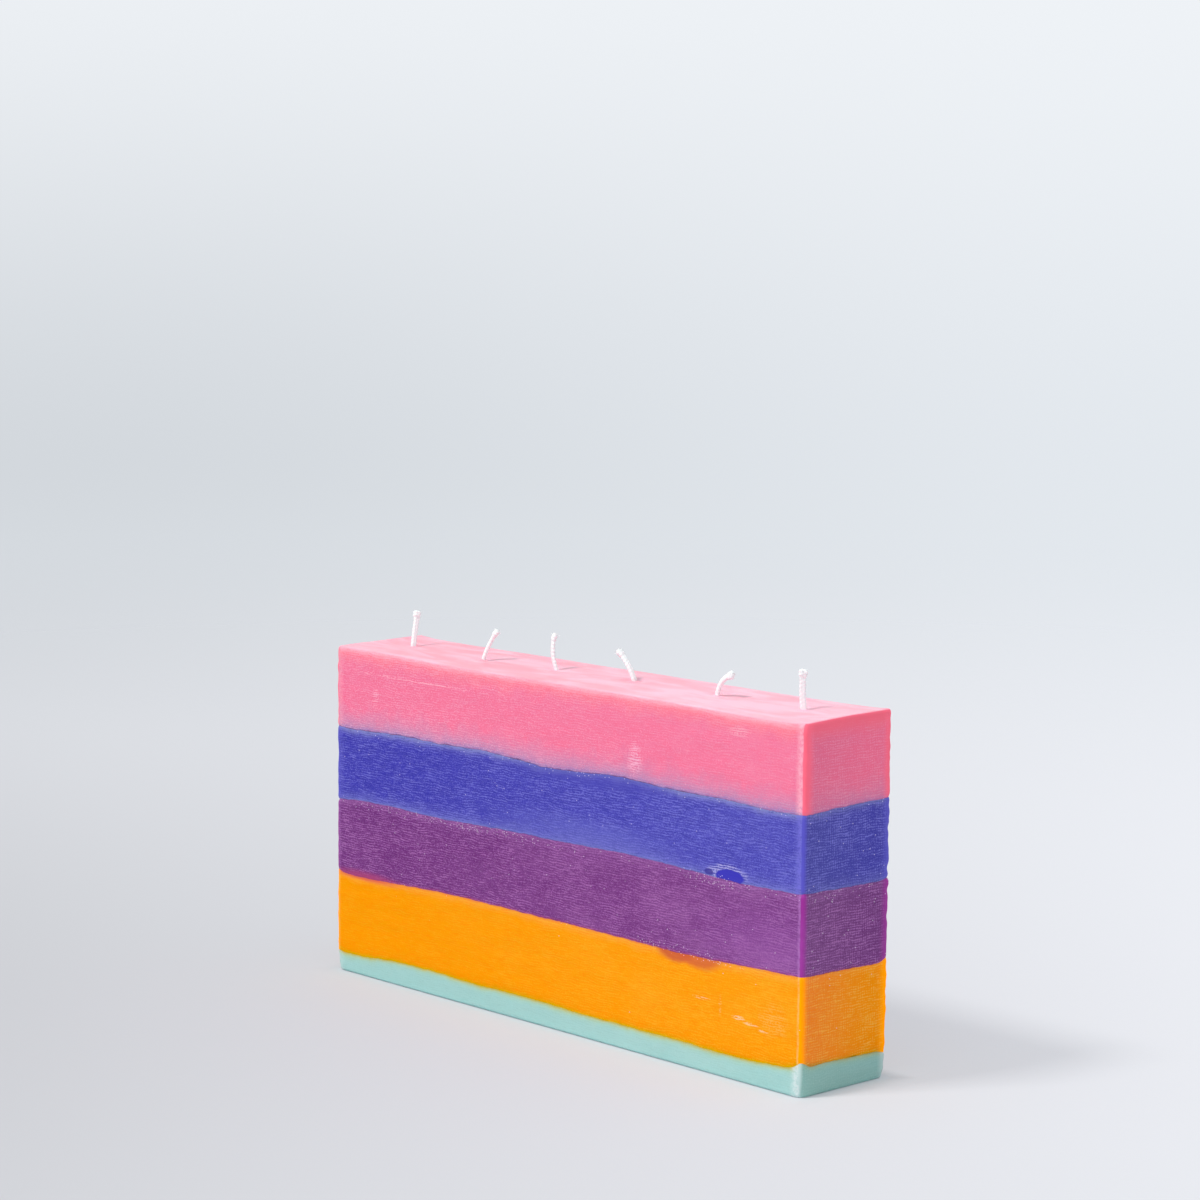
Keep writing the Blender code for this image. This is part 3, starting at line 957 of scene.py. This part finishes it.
def fibres(braid, centre, tangent, side, wick, number, out):
    """Loose cotton ends that stand out of the cut."""
    chance = random.Random(FIBRE_SEED + number)
    other = tangent.cross(side)
    reach = wick.diameter / 2 + wick.flare
    turns = [2 * math.pi * k / FIBRE_SIDES for k in range(FIBRE_SIDES)]
    for _ in range(FIBRE_COUNT):
        angle = chance.uniform(0, 2 * math.pi)
        radial = math.cos(angle) * side + math.sin(angle) * other
        root = centre + radial * reach * chance.uniform(*FIBRE_PLACE) - tangent * FIBRE_ROOT
        aim = (tangent + radial * chance.uniform(*FIBRE_LEAN)).normalized()
        length = chance.uniform(*FIBRE_LENGTH)
        thick = chance.uniform(*FIBRE_THICKNESS)
        across = aim.orthogonal().normalized()
        along = aim.cross(across)
        rings = []
        for step in range(FIBRE_STEPS + 1):
            share = step / FIBRE_STEPS
            middle = root + aim * length * share + radial * FIBRE_BEND * share**2
            ring = []
            for turn in turns:
                spoke = (math.cos(turn) * across + math.sin(turn) * along) * thick * (1 - FIBRE_TAPER * share)
                ring.append(braid.point(middle + spoke, out, FIBRE_CREST))
            rings.append(ring)
        braid.bm.faces.new(list(reversed(rings[0])))
        for one, two in zip(rings, rings[1:]):
            bridge(braid.bm, one, two)
        braid.bm.faces.new(rings[-1])


# Shader nodes


class Graph:
    """Adds nodes to one shader tree and links them."""

    def __init__(self, tree):
        self.tree = tree
        self.count = 0

    def node(self, kind, values=None, **options):
        """A new node with its options set, then its inputs."""
        made = self.tree.nodes.new(kind)
        made.location = (220 * (self.count // 5) - 1800, -260 * (self.count % 5))
        self.count += 1
        for name, value in options.items():
            setattr(made, name, value)
        self.fill(made, values or {})
        return made

    def fill(self, node, values):
        """Puts each value in the input of its name."""
        for name, value in values.items():
            self.put(node.inputs[name], value)

    def put(self, socket, value):
        """Links a socket to another one, or sets it to a number or a colour."""
        if isinstance(value, bpy.types.NodeSocket):
            self.tree.links.new(value, socket)
        elif socket.type == "RGBA" and len(value) == 3:
            socket.default_value = (*value, 1.0)
        else:
            socket.default_value = value

    def math(self, operation, *values, clamp=False):
        values = dict(enumerate(values))
        return self.node("ShaderNodeMath", values, operation=operation, use_clamp=clamp).outputs[0]

    def times(self, *values):
        product = values[0]
        for value in values[1:]:
            product = self.math("MULTIPLY", product, value)
        return product

    def plus(self, one, two, clamp=False):
        return self.math("ADD", one, two, clamp=clamp)

    def minus(self, one, two, clamp=False):
        return self.math("SUBTRACT", one, two, clamp=clamp)

    def over(self, one, two):
        return self.math("DIVIDE", one, two)

    def line(self, value, slope, start):
        """start + slope * value"""
        return self.math("MULTIPLY_ADD", value, slope, start)

    def absolute(self, value):
        return self.math("ABSOLUTE", value)

    def most(self, one, two):
        return self.math("MAXIMUM", one, two)

    def vector(self, operation, *values):
        made = self.node("ShaderNodeVectorMath", dict(enumerate(values)), operation=operation)
        return made.outputs["Value" if operation in ("LENGTH", "DOT_PRODUCT") else "Vector"]

    def remap(self, value, low, high, to_low=0.0, to_high=1.0):
        values = {"Value": value, "From Min": low, "From Max": high, "To Min": to_low, "To Max": to_high}
        return self.node("ShaderNodeMapRange", values, interpolation_type="SMOOTHSTEP").outputs["Result"]

    def mix(self, factor, one, two, blend="MIX"):
        values = {0: factor, 6: one, 7: two}
        return self.node("ShaderNodeMix", values, data_type="RGBA", blend_type=blend).outputs[2]

    def dimmed(self, color, level):
        """A colour times a level."""
        return self.mix(1.0, color, self.join(level, level, level), "MULTIPLY")

    def noise(self, vector, scale, detail=2.0, roughness=0.5, distortion=0.0):
        values = {
            "Vector": vector, "Scale": scale, "Detail": detail,
            "Roughness": roughness, "Distortion": distortion,
        }
        return self.node("ShaderNodeTexNoise", values).outputs["Fac"]

    def sway(self, *noise_values):
        """Noise about zero."""
        return self.minus(self.noise(*noise_values), 0.5)

    def attribute(self, name):
        return self.node("ShaderNodeAttribute", attribute_name=name).outputs["Fac"]

    def place(self):
        return self.node("ShaderNodeTexCoord").outputs["Object"]

    def scaled_place(self, x, y, z):
        return self.vector("MULTIPLY", self.place(), (x, y, z))

    def split(self, vector):
        return self.node("ShaderNodeSeparateXYZ", {"Vector": vector}).outputs

    def join(self, x, y, z):
        return self.node("ShaderNodeCombineXYZ", {"X": x, "Y": y, "Z": z}).outputs[0]

    def group(self, name, values=None):
        return self.node("ShaderNodeGroup", values, node_tree=GROUPS[name]).outputs

    def bump(self, height, strength, distance):
        values = {"Strength": strength, "Distance": distance, "Height": height}
        return self.node("ShaderNodeBump", values).outputs[0]


def new_group(name, inputs, outputs):
    """A shader node group with named value sockets. Inputs are name: default."""
    tree = bpy.data.node_groups.new(name, "ShaderNodeTree")
    for label, default in inputs.items():
        kind = "NodeSocketFloat" if isinstance(default, float) else "NodeSocketVector"
        tree.interface.new_socket(label, in_out="INPUT", socket_type=kind).default_value = default
    for label in outputs:
        tree.interface.new_socket(label, in_out="OUTPUT", socket_type="NodeSocketFloat")
    graph = Graph(tree)
    return tree, graph, graph.node("NodeGroupInput").outputs


def zones_group():
    """Where on the block a point is: facing up or to an end, or on a corner's clear part, partly painted
    glow, or its scuffed part, partly a painted highlight.
    """
    tree, g, given = new_group(
        "Block Zones",
        {
            "Half Length": 0.117, "Half Depth": 0.02, "Corner": 0.0013, "Front Edge": 0.001,
            "Rear Edge": 0.0026, "Scuff": 0.002,
        },
        ("End", "Up", "Clear Edge And Painted Glow", "Scuffed Edge And Painted Highlight"),
    )
    x, y, _ = g.split(g.place())
    to_side = g.minus(given["Half Depth"], g.absolute(y))
    to_end = g.minus(given["Half Length"], g.absolute(x))
    facing_x, _, facing_z = g.split(g.node("ShaderNodeTexCoord").outputs["Normal"])
    up = g.remap(facing_z, 0.60, 0.97)
    on_side = g.minus(1.0, up)
    wider = g.minus(given["Rear Edge"], given["Front Edge"])
    width = g.line(g.math("GREATER_THAN", y, 0.0), wider, given["Front Edge"])
    near_side = g.remap(g.over(to_side, width), 1.9, 0.2)
    turns = g.over(to_end, given["Corner"])
    past = g.over(g.minus(to_end, given["Corner"]), given["Scuff"])
    g.node("NodeGroupOutput", {
        "End": g.remap(g.absolute(facing_x), 0.55, 0.85),
        "Up": up,
        "Clear Edge And Painted Glow": g.times(near_side, g.remap(turns, 1.2, 0.75), on_side),
        "Scuffed Edge And Painted Highlight": g.times(g.remap(past, 1.0, 0.2), g.remap(turns, 0.75, 1.15), on_side),
    })
    return tree


def mould_lines_group():
    """Fine scratches and grain from the mould: wavy and level, and crossed by upright ones on the ends."""
    tree, g, given = new_group(
        "Mould Lines",
        {"Spacing": 0.00040, "Stretch": 12.0, "Sway": 0.0013, "Pitch": 0.00086, "End": 0.0},
        ("Light", "Dark", "Height"),
    )
    x, y, z = g.split(g.place())
    wander = g.noise(g.place(), 150.0, 2.0)
    swayed = g.line(g.sway(g.place(), 60.0, 2.0), given["Sway"], z)
    swayed = g.line(wander, 0.0008, swayed)
    across = g.over(1.0, given["Spacing"])
    along = g.over(across, given["Stretch"])
    short = g.times(across, 0.65)

    def strokes(x_rate, y_rate, z_rate):
        return g.sway(g.join(g.times(x, x_rate), g.times(y, y_rate), g.times(swayed, z_rate)), 1.0, 1.0, 0.6)

    def ruled(value):
        turns = g.line(wander, 1.5, g.over(value, given["Pitch"]))
        return g.math("SINE", g.times(turns, 2 * math.pi))

    upright = g.line(ruled(y), 0.09, g.times(strokes(across, across, along), 0.44))
    both = g.line(upright, given["End"], 0.5)
    both = g.line(ruled(swayed), 0.12, both)
    both = g.line(strokes(along, along, across), 0.85, both)
    both = g.line(strokes(short, short, across), 0.75, both)
    patched = g.line(g.sway(g.place(), 65.0, 3.0, 0.6), 0.34, both)
    g.node("NodeGroupOutput", {
        "Light": g.remap(patched, 0.48, 0.80), "Dark": g.remap(both, 0.50, 0.24), "Height": both,
    })
    return tree


def bloom_group():
    """Cloudy frost on cast wax: broad patches, and a fine grain inside them."""
    tree, g, given = new_group("Wax Bloom", {"Patch Size": 0.012, "Grain Size": 0.0004}, ("Cloud", "Grain"))
    cloud = g.noise(g.scaled_place(0.45, 0.45, 1.0), g.over(1.0, given["Patch Size"]), 4.0, 0.6)
    grain = g.noise(g.place(), g.over(1.0, given["Grain Size"]), 2.0, 0.7)
    g.node("NodeGroupOutput", {"Cloud": g.remap(cloud, 0.38, 0.68), "Grain": grain})
    return tree


def bleed_group():
    """How much a neighbouring pour has bled in, from the distance to the line between them."""
    tree, g, given = new_group("Pour Bleed", {"Distance": 0.0, "Width": 0.002, "Wander": 0.5}, ("Bleed",))
    drift = g.times(g.sway(g.place(), 120.0, 3.0, 0.6), given["Wander"])
    width = g.times(given["Width"], g.line(drift, 2.0, 1.0))
    g.node("NodeGroupOutput", {"Bleed": g.remap(g.over(given["Distance"], width), 1.0, 0.0)})
    return tree


def specks_group():
    """Tiny white marks where bubbles met the mould. Share is how many of the cells hold one."""
    tree, g, given = new_group("Wax Specks", {"Cell": 0.0013, "Share": 0.1, "Size": 0.2}, ("Specks",))
    values = {"Vector": g.scaled_place(0.65, 0.65, 1.0), "Scale": g.over(1.0, given["Cell"])}
    cells = g.node("ShaderNodeTexVoronoi", values).outputs
    chance = g.node("ShaderNodeSeparateColor", {"Color": cells["Color"]}).outputs[0]
    dot = g.remap(cells["Distance"], given["Size"], g.times(given["Size"], 0.5))
    g.node("NodeGroupOutput", {"Specks": g.times(dot, g.math("LESS_THAN", chance, given["Share"]))})
    return tree


def patch_group():
    """A single ragged oval patch, such as a stain or a clean spot."""
    tree, g, given = new_group(
        "Ragged Patch",
        {"Centre": (0.0, 0.0, 0.0), "Radii": (0.01, 0.01, 0.01), "Rag": 0.5, "Soft": 0.25},
        ("Patch",),
    )
    away = g.vector("DIVIDE", g.vector("SUBTRACT", g.place(), given["Centre"]), given["Radii"])
    rag = g.times(g.sway(g.place(), 260.0, 3.0, 0.6), given["Rag"])
    reach = g.plus(g.vector("LENGTH", away), rag)
    g.node("NodeGroupOutput", {"Patch": g.remap(reach, 1.05, g.minus(1.05, given["Soft"]))})
    return tree


GROUPS = {}


def build_groups():
    GROUPS.update(
        zones=zones_group(), lines=mould_lines_group(), bloom=bloom_group(), bleed=bleed_group(),
        specks=specks_group(), patch=patch_group(),
    )


# Materials


def new_material(name, color):
    made = bpy.data.materials.new(name)
    made.use_nodes = True
    made.diffuse_color = (*color, 1.0)
    return made, Graph(made.node_tree), made.node_tree.nodes["Principled BSDF"]


def with_bleeds(g, color, finish, above, below):
    """The bands of colour beside the pour lines."""
    for distance, bleeds in ((below, finish.high), (above, finish.low)):
        for bleed in bleeds:
            band = g.group("bleed", {"Distance": distance, "Width": bleed.width, "Wander": 0.7})
            color = g.mix(g.times(band["Bleed"], bleed.strength), color, bleed.color)
    return color


def with_marks(g, color, slot, lines):
    """The single marks of the front wall."""
    for mark in MARKS:
        if mark.slot == slot:
            patch = g.group("patch", {
                "Centre": (mark.x, WALL, mark.z), "Radii": (mark.wide, MARK_DEPTH, mark.high),
                "Rag": mark.rag, "Soft": mark.soft,
            })
            shown = g.times(patch["Patch"], mark.strength)
            if mark.scratched:
                shown = g.times(shown, g.remap(lines["Height"], 0.42, 0.60))
            color = g.mix(shown, color, mark.color)
    return color


def with_specks(g, color, slot, finish, below, on_side):
    """White specks, more of them under the line above and where they crowd."""
    share = g.line(g.remap(below, 0.0045, 0.0003), 0.09 * finish.specks, 0.008 * finish.specks)
    for crowd in CROWDS:
        if crowd.slot == slot:
            values = {"Centre": crowd.centre, "Radii": crowd.radii, "Rag": 1.2, "Soft": 0.6}
            share = g.line(g.group("patch", values)["Patch"], 0.55, share)
    specks = g.group("specks", {"Cell": 0.0006, "Size": 0.32, "Share": share})
    return g.mix(g.times(specks["Specks"], on_side, 0.65), color, SPECK)


def wax_material(wax, pour, body):
    """Satin cast wax: mould lines, bloom, specks and the colours that the neighbouring pours bled into it."""
    finish = WAXES[pour.slot]
    is_top = pour is POURS[-1]
    made, g, shader = new_material(pour.slot, body)
    zones = g.group("zones", {
        "Half Length": wax.length / 2, "Half Depth": wax.depth / 2, "Corner": wax.corner_radius,
        "Front Edge": finish.edge, "Scuff": finish.scuffed,
    })
    end = zones["End"]
    lines = g.group("lines", {"End": end})
    bloom = g.group("bloom")
    above, below = g.attribute("above_line"), g.attribute("below_line")
    x, y, _ = g.split(g.place())
    on_side = g.minus(1.0, zones["Up"])
    # The clear wax beside the corners, and for the top pour along the top of its end faces; beside the
    # corners it is partly painted light standing in for light shining through the wax
    clear = zones["Clear Edge And Painted Glow"]
    if is_top:
        clear = g.most(clear, g.times(g.remap(below, 0.0082, 0.0004), end, on_side))
    on_wall = g.minus(on_side, clear, clamp=True)
    # Haze in clouds, thinner on the end faces, then the bleeds, then painted shade that deepens and darkens
    # the end faces, most toward the front edge, and the clear wax beside the corners, partly painted light
    # shining through the corner
    cloudy = g.line(bloom["Cloud"], finish.bloom, 0.25 * finish.lines)
    hazy = g.times(cloudy, g.remap(x, -0.10, 0.12, 0.08, 1.10), g.line(end, -0.8, 1.0))
    color = with_bleeds(g, g.mix(hazy, body, finish.haze), finish, above, below)
    color = g.mix(g.times(end, 0.35), color, finish.deep)
    color = g.mix(g.times(end, g.remap(y, 0.016, -0.020, 0.0, 0.40)), color, finish.dull)
    color = g.mix(g.times(clear, 0.92), color, finish.clear)
    # Grain: dark strokes, pale scratches, and a fine frost
    grained = g.times(on_wall, g.remap(end, 0.0, 1.0, g.remap(x, -0.10, 0.12, finish.calm, 1.0), 1.0))
    scratched = g.times(lines["Light"], grained)
    color = g.mix(g.times(lines["Dark"], on_wall, min(0.5, 1.5 * finish.lines)), color, finish.deep)
    color = g.mix(g.times(scratched, finish.lines), color, finish.haze)
    color = g.mix(g.times(scratched, end, finish.streaks), color, finish.scuff)
    frost = g.times(g.remap(bloom["Grain"], 0.53, 0.72), grained, 0.25 + 0.72 * finish.lines)
    color = g.mix(frost, color, finish.haze)
    color = with_marks(g, color, pour.slot, lines)
    color = with_specks(g, color, pour.slot, finish, below, on_side)
    # Wear beside the corners, partly a painted highlight on the rounded corner and stronger toward +X, and
    # the dark crevice above the line below
    broken = g.remap(g.noise(g.place(), 800.0, 3.0, 0.6), 0.35, 0.60, 0.35, 1.0)
    scuff = g.times(zones["Scuffed Edge And Painted Highlight"], broken, g.remap(x, -0.05, 0.05, 0.35, 0.85))
    color = g.mix(scuff, color, finish.scuff)
    crevice = g.remap(g.line(g.noise(g.place(), 300.0, 2.0), 0.0010, above), 0.0009, 0.0005)
    crevice = g.times(crevice, on_side, g.remap(x, 0.105, 0.065, 0.35, 1.0), finish.crevice)
    color = g.mix(crevice, color, CREVICE)
    if is_top:
        # The top is painted paler in streaks and toward +X: partly frost, partly painted sheen standing in
        # for the reflection of the bright room
        drawn = g.noise(g.scaled_place(38.0, 120.0, 1.0), 1.0, 3.0, 0.55, 0.6)
        paler = g.plus(g.remap(drawn, 0.28, 0.74), g.remap(x, -0.12, 0.10, -0.25, 0.25), clamp=True)
        color = g.mix(zones["Up"], color, g.mix(paler, TOP_SKIN_AND_SHEEN, TOP_FROST_AND_SHEEN))
    rough = g.line(scratched, 0.14, finish.roughness)
    rough = g.line(g.minus(bloom["Grain"], 0.5), 0.12, rough)
    height = g.line(bloom["Grain"], 0.25, g.times(lines["Height"], on_side))
    g.fill(shader, {
        "Base Color": color,
        "Roughness": g.line(zones["Up"], -0.12, rough),
        "Normal": g.bump(height, 0.30, 0.00008),
        # Painted glow: the clear corners emit their own colour, standing in for light shining through the wax
        "Emission Color": g.mix(zones["Clear Edge And Painted Glow"], (0.0, 0.0, 0.0), finish.clear),
        "Emission Strength": wax.painted_edge_glow * finish.glow,
        "IOR": 1.45,
        "Specular IOR Level": finish.gloss,
        "Subsurface Weight": wax.translucency,
        "Subsurface Radius": [max(channel, LEAST_GLOW) for channel in body],
        "Subsurface Scale": wax.glow_depth,
    })
    return made


def cotton_material(wick):
    """Waxed cotton: white strands, darker between the knuckles in painted shade, tinted where they stand in
    the wax.
    """
    made, g, shader = new_material("waxed_cotton", wick.cotton)
    crest, out = g.attribute("braid_crest"), g.attribute("out_of_wax")
    fuzz = g.noise(g.place(), 5200.0, 3.0, 0.7)
    # Painted shade in the hollows between the knuckles
    color = g.mix(g.times(g.remap(crest, 0.35, 0.0), 0.22), wick.cotton, (0.90, 0.89, 0.93))
    color = g.mix(g.times(g.remap(fuzz, 0.60, 0.35), 0.10), color, (0.86, 0.87, 0.90))
    tint = g.remap(g.line(fuzz, 0.0012, out), 0.0024, 0.0004)
    color = g.mix(g.times(tint, 0.14), color, (0.94, 0.45, 0.55))
    g.fill(shader, {
        "Base Color": color,
        "Roughness": g.remap(crest, 0.0, 1.0, 0.42, 0.62),
        "Normal": g.bump(g.line(crest, 0.6, fuzz), 0.4, 0.00008),
        "Sheen Weight": 0.5,
        "Subsurface Weight": 0.25,
        "Subsurface Radius": (1.0, 0.8, 0.8),
        "Subsurface Scale": 0.0004,
    })
    return made


def tin_material(wick):
    """Pressed tinned steel: turned brush marks and dull spots."""
    made, g, shader = new_material("tinned_steel", wick.tin)
    bloom = g.group("bloom", {"Patch Size": 0.003, "Grain Size": 0.0002})
    scratches = g.noise(g.scaled_place(4000.0, 350.0, 900.0), 1.0, 3.0, 0.6)
    color = g.mix(g.times(bloom["Cloud"], 0.35), wick.tin, (0.52, 0.51, 0.50))
    g.fill(shader, {
        "Base Color": g.mix(g.remap(scratches, 0.55, 0.75, 0.0, 0.25), color, (0.85, 0.85, 0.84)),
        "Metallic": 1.0,
        "Roughness": g.remap(bloom["Cloud"], 0.0, 1.0, 0.26, 0.42),
        "Normal": g.bump(scratches, 0.2, 0.00004),
    })
    return made


# The stage


def camera_matrix(stage):
    """The camera's place and turn: azimuth 0 looks along +Y and 90 along -X."""
    a, e, r = stage.azimuth, stage.elevation, stage.roll
    back = Vector((math.sin(a) * math.cos(e), -math.cos(a) * math.cos(e), math.sin(e)))
    right = (-back).cross(Vector((0, 0, 1))).normalized()
    up = right.cross(-back)
    x = math.cos(r) * right + math.sin(r) * up
    y = -math.sin(r) * right + math.cos(r) * up
    turn = Matrix((x, y, back)).transposed()
    return Matrix.Translation(Vector(stage.camera)) @ turn.to_4x4()


def floor_material(stage):
    """Matt floor that fades out far from the candle, and is see-through from below and under the candle."""
    made, g, shader = new_material("studio_floor", stage.floor)
    place = g.place()
    a = stage.azimuth
    # Painted light: paler to the right and further off, as the light falls across the floor
    aside = g.vector("DOT_PRODUCT", place, (math.cos(a), math.sin(a), 0.0))
    away = g.remap(g.vector("DOT_PRODUCT", place, (-math.sin(a), math.cos(a), 0.0)), -0.1, 0.7)
    shade = g.plus(g.times(aside, g.line(away, -0.45, 0.84)), g.line(away, 0.10, 1.030))
    paper = g.noise(place, 700.0, 3.0, 0.6)
    color = g.mix(g.remap(paper, 0.3, 0.7, 0.0, 0.02), g.dimmed(stage.floor, shade), (0.5, 0.5, 0.5))
    # Painted light: what the camera sees of the floor partly glows, which pales the shadow on it, less so
    # close beside the candle
    seen = g.node("ShaderNodeLightPath").outputs["Is Camera Ray"]
    x, y, _ = g.split(place)
    gap = g.most(g.minus(g.absolute(x), CAD_BOX[1].x), g.minus(g.absolute(y), CAD_BOX[1].y))
    fill = g.times(seen, g.remap(gap, 0.0, 0.009, 0.35, 1.0), stage.floor_fill)
    g.fill(shader, {
        "Base Color": g.dimmed(color, g.minus(1.0, fill)),
        "Emission Color": color,
        "Emission Strength": g.times(fill, 1.1),
        "Roughness": 0.9,
        "Specular IOR Level": 0.2,
    })
    fade = g.remap(g.vector("LENGTH", place), 0.45, 1.7)
    below = g.node("ShaderNodeNewGeometry").outputs["Backfacing"]
    hidden = g.most(g.most(fade, below), g.math("LESS_THAN", gap, -0.0015))
    clear = g.node("ShaderNodeBsdfTransparent")
    both = g.node("ShaderNodeMixShader", {0: hidden, 1: shader.outputs[0], 2: clear.outputs[0]})
    g.fill(made.node_tree.nodes["Material Output"], {"Surface": both.outputs[0]})
    return made


def room_light(stage):
    """Even light from all round, and a pale graded backdrop for what the camera and the gloss see."""
    world = bpy.data.worlds.new("studio")
    bpy.context.scene.world = world
    world.use_nodes = True
    g = Graph(world.node_tree)
    looking = g.node("ShaderNodeTexCoord").outputs["Generated"]
    _, _, rise = g.split(looking)
    a = stage.azimuth
    aside = g.vector("DOT_PRODUCT", looking, (math.cos(a), math.sin(a), 0.0))
    # The backdrop is paler higher up and to one side, and at its foot on the other side
    height = g.remap(rise, -0.09, 0.09)
    shade = g.times(g.remap(aside, -0.20, 0.20, -0.10, 0.07), g.line(height, -0.9, 1.0))
    foot = g.times(g.remap(rise, -0.075, -0.14, 0.0, 0.05), g.remap(aside, 0.10, -0.10))
    shade = g.plus(g.plus(shade, foot), 1.0)
    shown = g.dimmed(g.mix(height, stage.backdrop, stage.backdrop_top), shade)
    level = g.remap(g.vector("DOT_PRODUCT", looking, BRIGHT_SIDE), -1.0, 1.0, 0.60, 1.40)
    sky = g.dimmed(stage.sky, level)
    rays = g.node("ShaderNodeLightPath").outputs
    seen = g.most(rays["Is Camera Ray"], g.most(rays["Is Glossy Ray"], rays["Is Transmission Ray"]))
    g.fill(world.node_tree.nodes["Background"], {"Color": g.mix(seen, sky, shown), "Strength": 1.0})


def studio_floor(stage):
    """A wide flat disc under the candle."""
    bm = bmesh.new()
    bmesh.ops.create_circle(bm, cap_ends=True, segments=FLOOR_SIDES, radius=FLOOR_RADIUS)
    mesh = bpy.data.meshes.new("studio_floor")
    bm.to_mesh(mesh)
    bm.free()
    floor = new_object("studio_floor", mesh)
    floor.data.materials.append(floor_material(stage))


def key_lamp(stage):
    """A soft square lamp, high on the left in front of the candle."""
    lamp = bpy.data.lights.new("key", "AREA")
    lamp.size = stage.key_size
    lamp.energy = stage.key_power
    lamp.color = KEY_COLOR
    key = new_object("key", lamp)
    key.location = stage.key_place
    to_candle = CANDLE_MIDDLE - Vector(stage.key_place)
    key.rotation_euler = to_candle.to_track_quat("-Z", "Y").to_euler()


def stage_camera(stage):
    """A camera at the photo's angle."""
    lens = bpy.data.cameras.new("camera")
    lens.lens = stage.lens
    lens.sensor_width = SENSOR_WIDTH
    lens.clip_start = CLIP_START
    camera = new_object("camera", lens)
    camera.matrix_world = camera_matrix(stage)
    bpy.context.scene.camera = camera


class CANDLE_OT_wax(bpy.types.Operator):
    """Builds the five poured layers of wax"""

    bl_idname = "candle.wax"
    bl_label = "Pour Wax Layers"

    def execute(self, context):
        wax = context.scene.candle_wax
        exits = [wick_exit(wax, number) for number in range(len(WICKS))]
        bodies = (wax.mint, wax.orange, wax.purple, wax.blue, wax.pink)
        for index, (pour, body) in enumerate(zip(POURS, bodies)):
            piece = new_object(pour.slot, layer_mesh(wax, index, exits))
            if index == 0:
                cut_pockets(piece, exits)
            mark_heights(wax, index, piece.data)
            piece.data.materials.clear()
            piece.data.materials.append(wax_material(wax, pour, tuple(body)))
            piece.data.shade_smooth()
            piece.data.set_sharp_from_angle(angle=math.radians(CREASE_ANGLE))
            hand_over(piece, pour.node)
        return {"FINISHED"}


class CANDLE_OT_wicks(bpy.types.Operator):
    """Braids the six wicks, from their tabs to their spread cut ends"""

    bl_idname = "candle.wicks"
    bl_label = "Braid Wicks"

    def execute(self, context):
        wax, wick = context.scene.candle_wax, context.scene.candle_wick
        cotton = cotton_material(wick)
        for number in range(len(WICKS)):
            piece = new_object(f"cotton_wick_{number + 1}", wick_mesh(wax, wick, number))
            piece.data.materials.append(cotton)
            hand_over(piece, f"wick_{number + 1}")
        return {"FINISHED"}


class CANDLE_OT_tabs(bpy.types.Operator):
    """Gives the wick tabs their tinned steel"""

    bl_idname = "candle.tabs"
    bl_label = "Finish Wick Tabs"

    def execute(self, context):
        tin = tin_material(context.scene.candle_wick)
        for number in range(len(WICKS)):
            tab = frame["nodes"][f"wick_tab_{number + 1}"]
            tab.data.materials.clear()
            tab.data.materials.append(tin)
        return {"FINISHED"}


class CANDLE_OT_stage(bpy.types.Operator):
    """Sets up the floor, the lamp, the backdrop and the camera"""

    bl_idname = "candle.stage"
    bl_label = "Set Stage"

    def execute(self, context):
        stage = context.scene.candle_stage
        studio_floor(stage)
        key_lamp(stage)
        room_light(stage)
        stage_camera(stage)
        context.scene.view_settings.view_transform = "Standard"
        return {"FINISHED"}


class CANDLE_PT_panel(bpy.types.Panel):
    """Lists the candle's steps and settings"""

    bl_idname = "CANDLE_PT_panel"
    bl_label = "Long Block Candle"
    bl_space_type = "VIEW_3D"
    bl_region_type = "UI"
    bl_category = "Candle"

    def draw(self, context):
        scene = context.scene
        blocks = (
            (scene.candle_wax, ("candle.wax",)),
            (scene.candle_wick, ("candle.wicks", "candle.tabs")),
            (scene.candle_stage, ("candle.stage",)),
        )
        for settings, operators in blocks:
            box = self.layout.box()
            for name in settings.bl_rna.properties.keys():
                if name not in ("rna_type", "name"):
                    box.prop(settings, name)
            for operator in operators:
                box.operator(operator)


CLASSES = (
    CANDLE_PG_wax, CANDLE_PG_wick, CANDLE_PG_stage,
    CANDLE_OT_wax, CANDLE_OT_wicks, CANDLE_OT_tabs, CANDLE_OT_stage, CANDLE_PT_panel,
)


def register():
    for item in CLASSES:
        bpy.utils.register_class(item)
    bpy.types.Scene.candle_wax = bpy.props.PointerProperty(type=CANDLE_PG_wax)
    bpy.types.Scene.candle_wick = bpy.props.PointerProperty(type=CANDLE_PG_wick)
    bpy.types.Scene.candle_stage = bpy.props.PointerProperty(type=CANDLE_PG_stage)


def unregister():
    del bpy.types.Scene.candle_stage
    del bpy.types.Scene.candle_wick
    del bpy.types.Scene.candle_wax
    for item in reversed(CLASSES):
        bpy.utils.unregister_class(item)


def main():
    register()
    build_groups()
    bpy.ops.candle.wax()
    bpy.ops.candle.wicks()
    bpy.ops.candle.tabs()
    bpy.ops.candle.stage()


if __name__ == "__main__":
    main()
